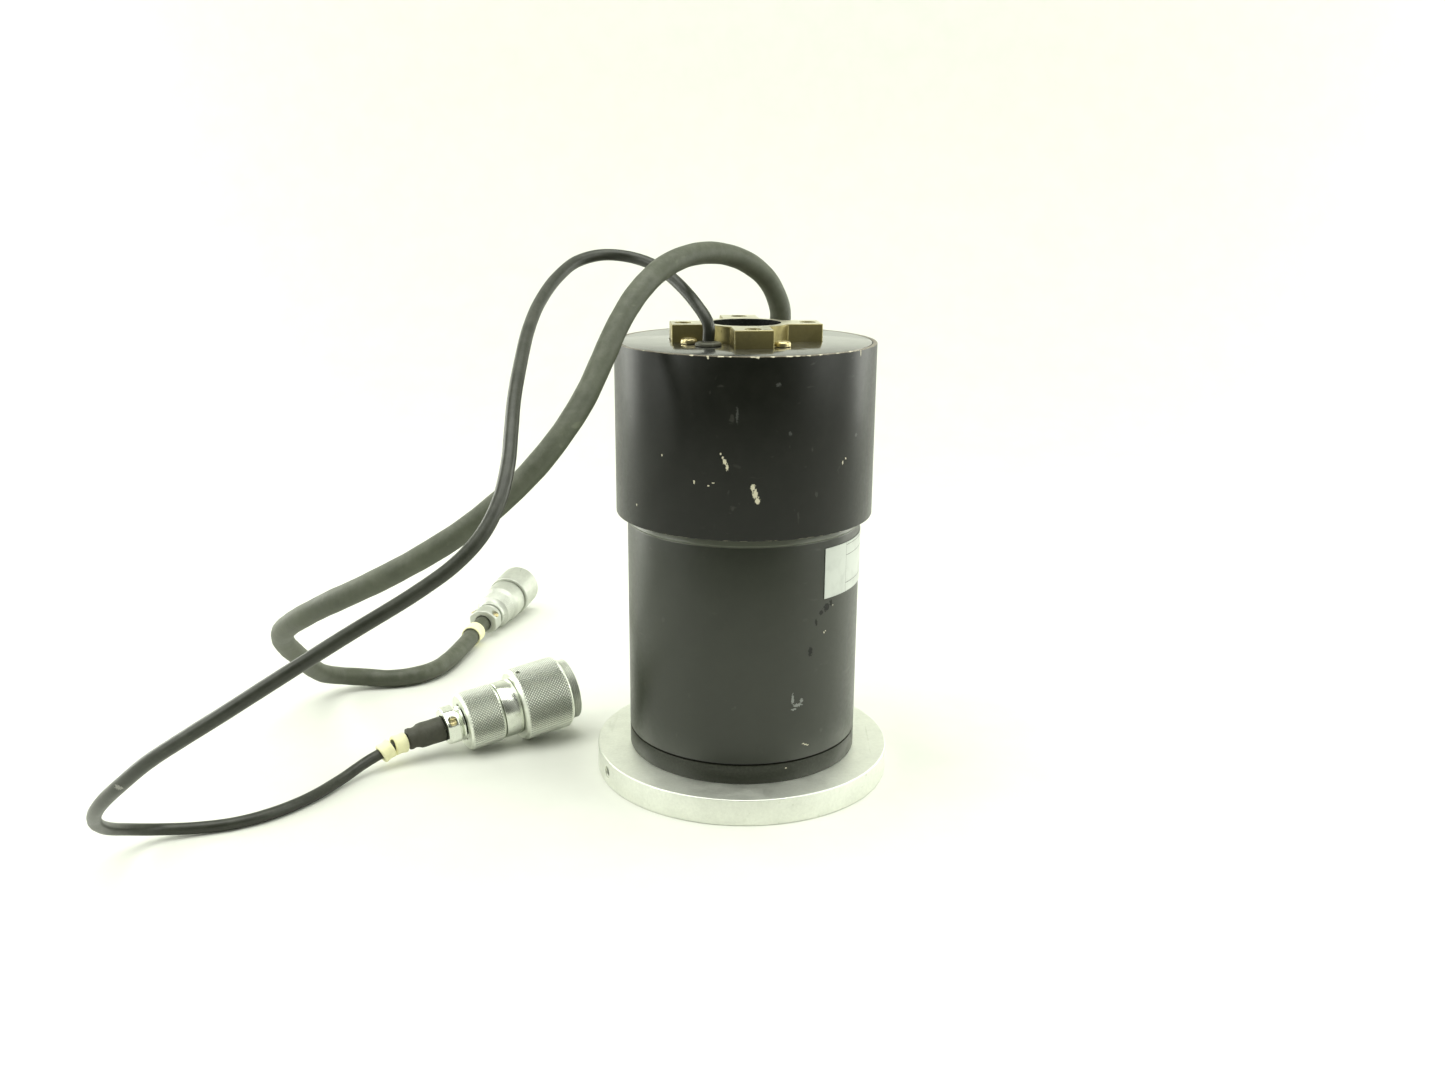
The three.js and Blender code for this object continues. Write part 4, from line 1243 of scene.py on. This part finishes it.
class ENCODER_OT_cords(Piece, bpy.types.Operator):
    """Both cables, each with its marker sleeves, and the thin one's boot"""

    bl_idname = "encoder.cords"
    bl_label = "Cables"

    def execute(self, context):
        cords = sizes("encoder_cords")
        thick_line, thin_line = smooth_line(THICK_ROUTE), smooth_line(THIN_ROUTE)
        thick = cord_curve("thick_cable_finished", thick_line, cords.thick / 2, 0.012)
        thin = cord_curve("thin_cable_finished", thin_line, cords.thin / 2, 0.004)
        deliver(thick, "housing", "cable_jacket", finish="thick_jacket")
        deliver(thin, "housing", "cable_jacket")
        # Cable, distance from its far end, bore, radius, length and lean of each sleeve.
        sleeves = {
            "thin_cable_marker_1": (thin_line, -0.0046, 0.0034, 0.0054, 0.0070, 0.20),
            "thin_cable_marker_2": (thin_line, -0.0124, 0.0033, 0.0052, 0.0068, -0.14),
            "thick_cable_marker": (thick_line, -0.0160, 0.0056, 0.0065, 0.0098, 0.07),
        }
        for name, (line, distance, bore, radius, long, lean) in sleeves.items():
            half, lip = long / 2, (radius - bore) / 2
            sleeve = turned(f"{name}_finished", [
                (bore, -half), *arc((bore + lip, -half + lip), lip, -90, 0, 4),
                (radius - 0.0004, 0), *arc((bore + lip, half - lip), lip, 0, 90, 4), (bore, half),
            ], 48)
            place, direction = point_along(line, distance)
            placed(sleeve, facing_matrix(place, direction) @ Matrix.Rotation(lean, 4, "X"))
            deliver(soften(sleeve, 0), "housing", "marker_sleeve")
        boot = turned("big_connector_boot_finished", [
            (0.0031, -0.0300), (0.0056, -0.0300), (0.0058, -0.0285), (0.0054, -0.0270), (0.0056, -0.0255),
            (0.0065, -0.0238), (0.0067, -0.0220), (0.0066, -0.0180), (0.0067, -0.0130), (0.0067, -0.0110),
            (0.0031, -0.0110),
        ], 56)
        BIG.put(boot)
        deliver(soften(boot, 0.0002, 2, 50), "housing", "black_rubber")
        return {"FINISHED"}


# Depth of a clamp screw's recess, as a share of the clamp's neck radius.
CLAMP_RECESS = 0.28


def clamp(name, neck, bore, back, front, screws, frame_of):
    """The polished two-bar clamp behind a connector, with its neck and screw recesses."""
    reach, ear, crown = neck * 1.15, neck * 0.56, neck * 0.42
    above, below = neck * 1.08, neck * 0.85
    corners = rounded_outline([
        (ear, -reach), (below, -crown), (below, crown), (ear, reach),
        (-ear, reach), (-above, crown), (-above, -crown), (-ear, -reach),
    ], neck * 0.5, 8)
    bars = raised(name, corners, back, front)
    middle = (back + front) / 2
    soften(bars, neck * 0.1, 4, 40)
    ring = turned("neck", [
        (bore, front - 0.001), (neck * 0.86, front - 0.001), (neck * 0.86, front + 0.001),
        (neck, front + 0.002),
        (neck, front + 0.003), (bore, front + 0.003),
    ], 72)
    soften(ring, 0.0004, 2)
    apply_modifier(bars, "BOOLEAN", operation="UNION", solver="EXACT", object=ring)
    bpy.data.objects.remove(ring)
    cutters = [rod(bore, back - 0.001, front + 0.004, sides=56)]
    for side in (-1, 1):
        for radius, deep in ((0.0025, neck * CLAMP_RECESS), (0.0016, neck * 0.75)):
            drill = rod(radius, -neck * 1.3, -neck * 0.75 + deep, sides=28)
            cutters.append(laid(drill, (0, side * screws, middle)))
    for cutter in cutters:
        cut(bars, [cutter])
    frame_of.put(bars)
    return soften(bars, 0)


def clamp_screws(prefix, neck, back, front, screws, frame_of):
    for i, side in enumerate((-1, 1)):
        screw = pan_head_screw(f"{prefix}_{i + 1}_finished", 0.0021, 0.0016, 0.0012, 0.003)
        seat = Matrix.Translation((-neck * (0.75 - CLAMP_RECESS) - 0.0001, side * screws, (back + front) / 2))
        screw.matrix_world = seat @ Matrix.Rotation(-math.pi / 2, 4, "Y") @ Matrix.Rotation(0.4 + i, 4, "Z")
        settle(screw)
        frame_of.put(screw)
        deliver(screw, "housing", "zinc_screw")


def insert(name, radius, circle, count, frame_of):
    """The moulded insert with its round of pins."""
    disc = turned(name, [
        (0, 0.040), (radius, 0.040), (radius, 0.0494), (radius - 0.0006, 0.050), (circle + 0.0022, 0.050),
        (circle + 0.0022, 0.0493), (0, 0.0493),
    ], 64)
    soften(disc, 0)
    pin = turned("pin", [(0, 0.042), (0.0009, 0.042), (0.0009, 0.0534), (0.0005, 0.054), (0, 0.0541)], 20)
    pins = []
    for x, y in [(0, 0), *round_places(circle, count)]:
        pins.append(placed(copied(pin, "pin_copy"), Matrix.Translation((x, y, 0))))
    bpy.data.objects.remove(pin)
    dress(disc, "moulded_insert")
    for each in pins:
        dress(each, "bearing_steel")
    whole = soften(joined(name, [disc, *pins]), 0)
    frame_of.put(whole)
    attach(whole, "housing")
    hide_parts(name.removesuffix("_finished"))


class ENCODER_OT_big_connector(Piece, bpy.types.Operator):
    """The large round connector at the thin cable's end"""

    bl_idname = "encoder.big_connector"
    bl_label = "Large connector"

    def execute(self, context):
        deliver(
            clamp("big_connector_clamp_finished", 0.0096, 0.007, -0.0105, -0.0035, 0.009, BIG),
            "housing", "bright_nickel",
        )
        clamp_screws("big_clamp_screw", 0.0096, -0.0105, -0.0035, 0.009, BIG)
        nut = knurled("big_connector_back_nut_finished", 0.0154, 0.010, 0, 0.0198, 0.00050, 114, 0.0009)
        deliver(BIG.put(nut), "housing", "satin_nickel")
        groove = [(0.0146, 0.0583)]
        for i in range(5):
            z = 0.0583 + i * 0.00095
            groove += [(0.0166, z + 0.0002), (0.0166, z + 0.00055), (0.0161, z + 0.00075)]
        shell = turned("big_connector_shell_finished", [
            (0.0096, 0.001), (0.0096, 0.0201), (0.0150, 0.0201), (0.0153, 0.0204), (0.0153, 0.0293),
            (0.0150, 0.0297), (0.0146, 0.0297), *groove, (0.0160, 0.0630), (0.0136, 0.0630),
            (0.0136, 0.026), (0.007, 0.026), (0.007, 0.001),
        ], 112)
        BIG.put(shell)
        deliver(soften(shell, 0.0001, 1), "housing", "bright_nickel")
        back_to_shell = BIG.matrix.inverted()
        second_finish(
            shell, "matte_nickel", lambda face: (back_to_shell @ face.calc_center_median()).z > 0.0581
        )
        ring = knurled("big_coupling_ring_finished", 0.0195, 0.015, 0.030, 0.0577, 0.00050, 144, 0.0012)
        cut(ring, [laid(rod(0.0011, 0.017, 0.0215, sides=24), (0, 0, 0.034), math.radians(-172))])
        BIG.put(ring)
        deliver(ring, "big_ring", "satin_nickel")
        insert("big_connector_insert_finished", 0.0132, 0.0056, 8, BIG)
        return {"FINISHED"}


class ENCODER_OT_small_connector(Piece, bpy.types.Operator):
    """The small round connector at the thick cable's end"""

    bl_idname = "encoder.small_connector"
    bl_label = "Small connector"

    def execute(self, context):
        deliver(
            clamp("small_connector_clamp_finished", 0.0082, 0.0058, 0, 0.009, 0.0076, SMALL),
            "housing", "satin_nickel", finish="matte_nickel",
        )
        clamp_screws("small_clamp_screw", 0.0082, 0, 0.009, 0.0076, SMALL)
        ribs = []
        for i in range(7):
            z = 0.0168 + i * 0.0014
            ribs += [(0.0112, z), (0.0116, z + 0.0003), (0.0116, z + 0.0009), (0.0112, z + 0.0012)]
        shell = turned("small_connector_shell_finished", [
            (0.0058, 0.0125), (0.0088, 0.0125), (0.0092, 0.0129), (0.0092, 0.015), *ribs, (0.0116, 0.0272),
            (0.0130, 0.0295), (0.0130, 0.0415), (0.0120, 0.0428), (0.0120, 0.062), (0.0105, 0.062),
            (0.0105, 0.030), (0.0058, 0.024),
        ], 96)
        SMALL.put(shell)
        deliver(soften(shell, 0.0001, 1), "housing", "satin_nickel", finish="matte_nickel")
        ring = turned("small_coupling_ring_finished", [
            (0.0124, 0.0434), (0.0138, 0.0434), (0.0142, 0.0438), (0.0142, 0.0625),
            *arc((0.0122, 0.0635), 0.0020, 0, 90, 8), (0.0124, 0.0655),
        ], 96)
        SMALL.put(ring)
        deliver(soften(ring, 0.0002, 2), "small_ring", "satin_nickel", finish="matte_nickel")
        insert("small_connector_insert_finished", 0.0101, 0.0044, 6, SMALL)
        return {"FINISHED"}


# Name, place, aim, width and depth, power.
LIGHTS = [
    ("overhead", (0.0, -0.1, 1.3), (0, 0, 0), (1.4, 1.1), 16),
    ("left", (-1.2, -0.5, 0.7), (0, 0, 0.1), (0.7, 0.9), 7),
    ("right", (1.2, -0.4, 0.7), (0, 0, 0.1), (0.7, 0.9), 6),
    ("left_edge", (-1.4, 0.80, 0.40), (0, 0.45, 0.1), (0.7, 0.9), 12),
    ("right_edge", (1.4, 0.80, 0.40), (0, 0.45, 0.1), (0.6, 0.9), 10),
]
CAMERA_PLACE = (0, -0.63694, 0.29604)
CAMERA_YAW, CAMERA_PITCH, CAMERA_ROLL = -0.0167, 0.2701, 0.0055


def camera_matrix():
    """Where the camera stands and looks, level apart from its small roll."""
    yaw, pitch, roll = CAMERA_YAW, CAMERA_PITCH, CAMERA_ROLL
    forward = Vector((math.sin(yaw) * math.cos(pitch), math.cos(yaw) * math.cos(pitch), -math.sin(pitch)))
    level = Vector((math.cos(yaw), -math.sin(yaw), 0))
    above = level.cross(forward)
    right = level * math.cos(roll) + above * math.sin(roll)
    top = above * math.cos(roll) - level * math.sin(roll)
    axes = Matrix((right, top, -forward)).transposed().to_4x4()
    return Matrix.Translation(CAMERA_PLACE) @ axes


class ENCODER_OT_stage(Piece, bpy.types.Operator):
    """A pale floor, soft light and the camera"""

    bl_idname = "encoder.stage"
    bl_label = "Stage"

    def execute(self, context):
        scene = context.scene
        sweep = [(-2.5, 0), (0.62, 0), *arc((0.62, 0.45), 0.45, -80, 0, 14), (1.07, 3.2)]
        floor = trace("studio_floor", [(-3.5, y, z) for y, z in sweep])
        bpy.ops.mesh.select_all(action="SELECT")
        bpy.ops.mesh.extrude_region_move(TRANSFORM_OT_translate={"value": (7, 0, 0)})
        bpy.ops.object.mode_set(mode="OBJECT")
        bpy.ops.object.shade_smooth()
        finish = Finish("studio_floor", Roughness=0.55)
        grain = finish.effect("mottle", Scale=30.0, Low=0.3, High=0.7)
        finish.feed("Base Color", finish.mix(grain, (0.72, 0.73, 0.675), (0.75, 0.76, 0.705)))
        floor.data.materials.append(finish.material)
        world = bpy.data.worlds.new("studio")
        scene.world = world
        world.use_nodes = True
        background = world.node_tree.nodes["Background"]
        nodes = world.node_tree
        around = nodes.nodes.new("ShaderNodeTexCoord").outputs["Generated"]
        back = add_node(nodes, "ShaderNodeSeparateXYZ", {"Vector": around}).outputs["Y"]
        bright = spread(nodes, back, -0.85, -0.05)
        sky = blend_colour(nodes, bright, (0.12, 0.125, 0.105), (0.95, 0.98, 0.90))
        seen = nodes.nodes.new("ShaderNodeLightPath").outputs["Is Camera Ray"]
        sky = blend_colour(nodes, seen, sky, (0.90, 0.93, 0.85))
        nodes.links.new(sky, background.inputs["Color"])
        background.inputs["Strength"].default_value = 1.0
        for name, place, aim, size, power in LIGHTS:
            deselect()
            bpy.ops.object.light_add(type="AREA", location=place)
            light = bpy.context.object
            light.name = name
            light.data.shape = "RECTANGLE"
            light.data.size, light.data.size_y = size
            light.data.energy = power
            light.data.color = (0.98, 1.0, 0.93)
            light.rotation_euler = (Vector(aim) - Vector(place)).to_track_quat("-Z", "Y").to_euler()
        deselect()
        bpy.ops.object.camera_add()
        camera = bpy.context.object
        camera.name = "studio_camera"
        camera.data.sensor_width = 36
        camera.data.lens = 32.39
        camera.matrix_world = camera_matrix()
        scene.camera = camera
        scene.view_settings.view_transform = "Standard"
        return {"FINISHED"}


OPERATORS = [
    ENCODER_OT_finishes,
    ENCODER_OT_stage,
    ENCODER_OT_big_connector,
    ENCODER_OT_small_connector,
    ENCODER_OT_cords,
    ENCODER_OT_hub,
    ENCODER_OT_shaft,
    ENCODER_OT_housings,
    ENCODER_OT_cover,
    ENCODER_OT_spider,
    ENCODER_OT_label,
]


class ENCODER_PT_panel(bpy.types.Panel):
    """Lists the encoder's sizes, colours and pieces"""

    bl_idname = "ENCODER_PT_panel"
    bl_label = "Encoder"
    bl_space_type = "VIEW_3D"
    bl_region_type = "UI"
    bl_category = "Encoder"

    def draw(self, context):
        for name, group in PROPERTY_GROUPS.items():
            box = self.layout.box()
            for setting in group.__annotations__:
                box.prop(getattr(context.scene, name), setting)
        for operator in OPERATORS:
            self.layout.operator(operator.bl_idname)


def register():
    for name, group in PROPERTY_GROUPS.items():
        bpy.utils.register_class(group)
        setattr(bpy.types.Scene, name, bpy.props.PointerProperty(type=group))
    for operator in OPERATORS:
        bpy.utils.register_class(operator)
    bpy.utils.register_class(ENCODER_PT_panel)


def unregister():
    bpy.utils.unregister_class(ENCODER_PT_panel)
    for operator in reversed(OPERATORS):
        bpy.utils.unregister_class(operator)
    for name, group in reversed(PROPERTY_GROUPS.items()):
        delattr(bpy.types.Scene, name)
        bpy.utils.unregister_class(group)


def main():
    register()
    for operator in OPERATORS:
        family, name = operator.bl_idname.split(".")
        getattr(getattr(bpy.ops, family), name)()


if __name__ == "__main__":
    main()
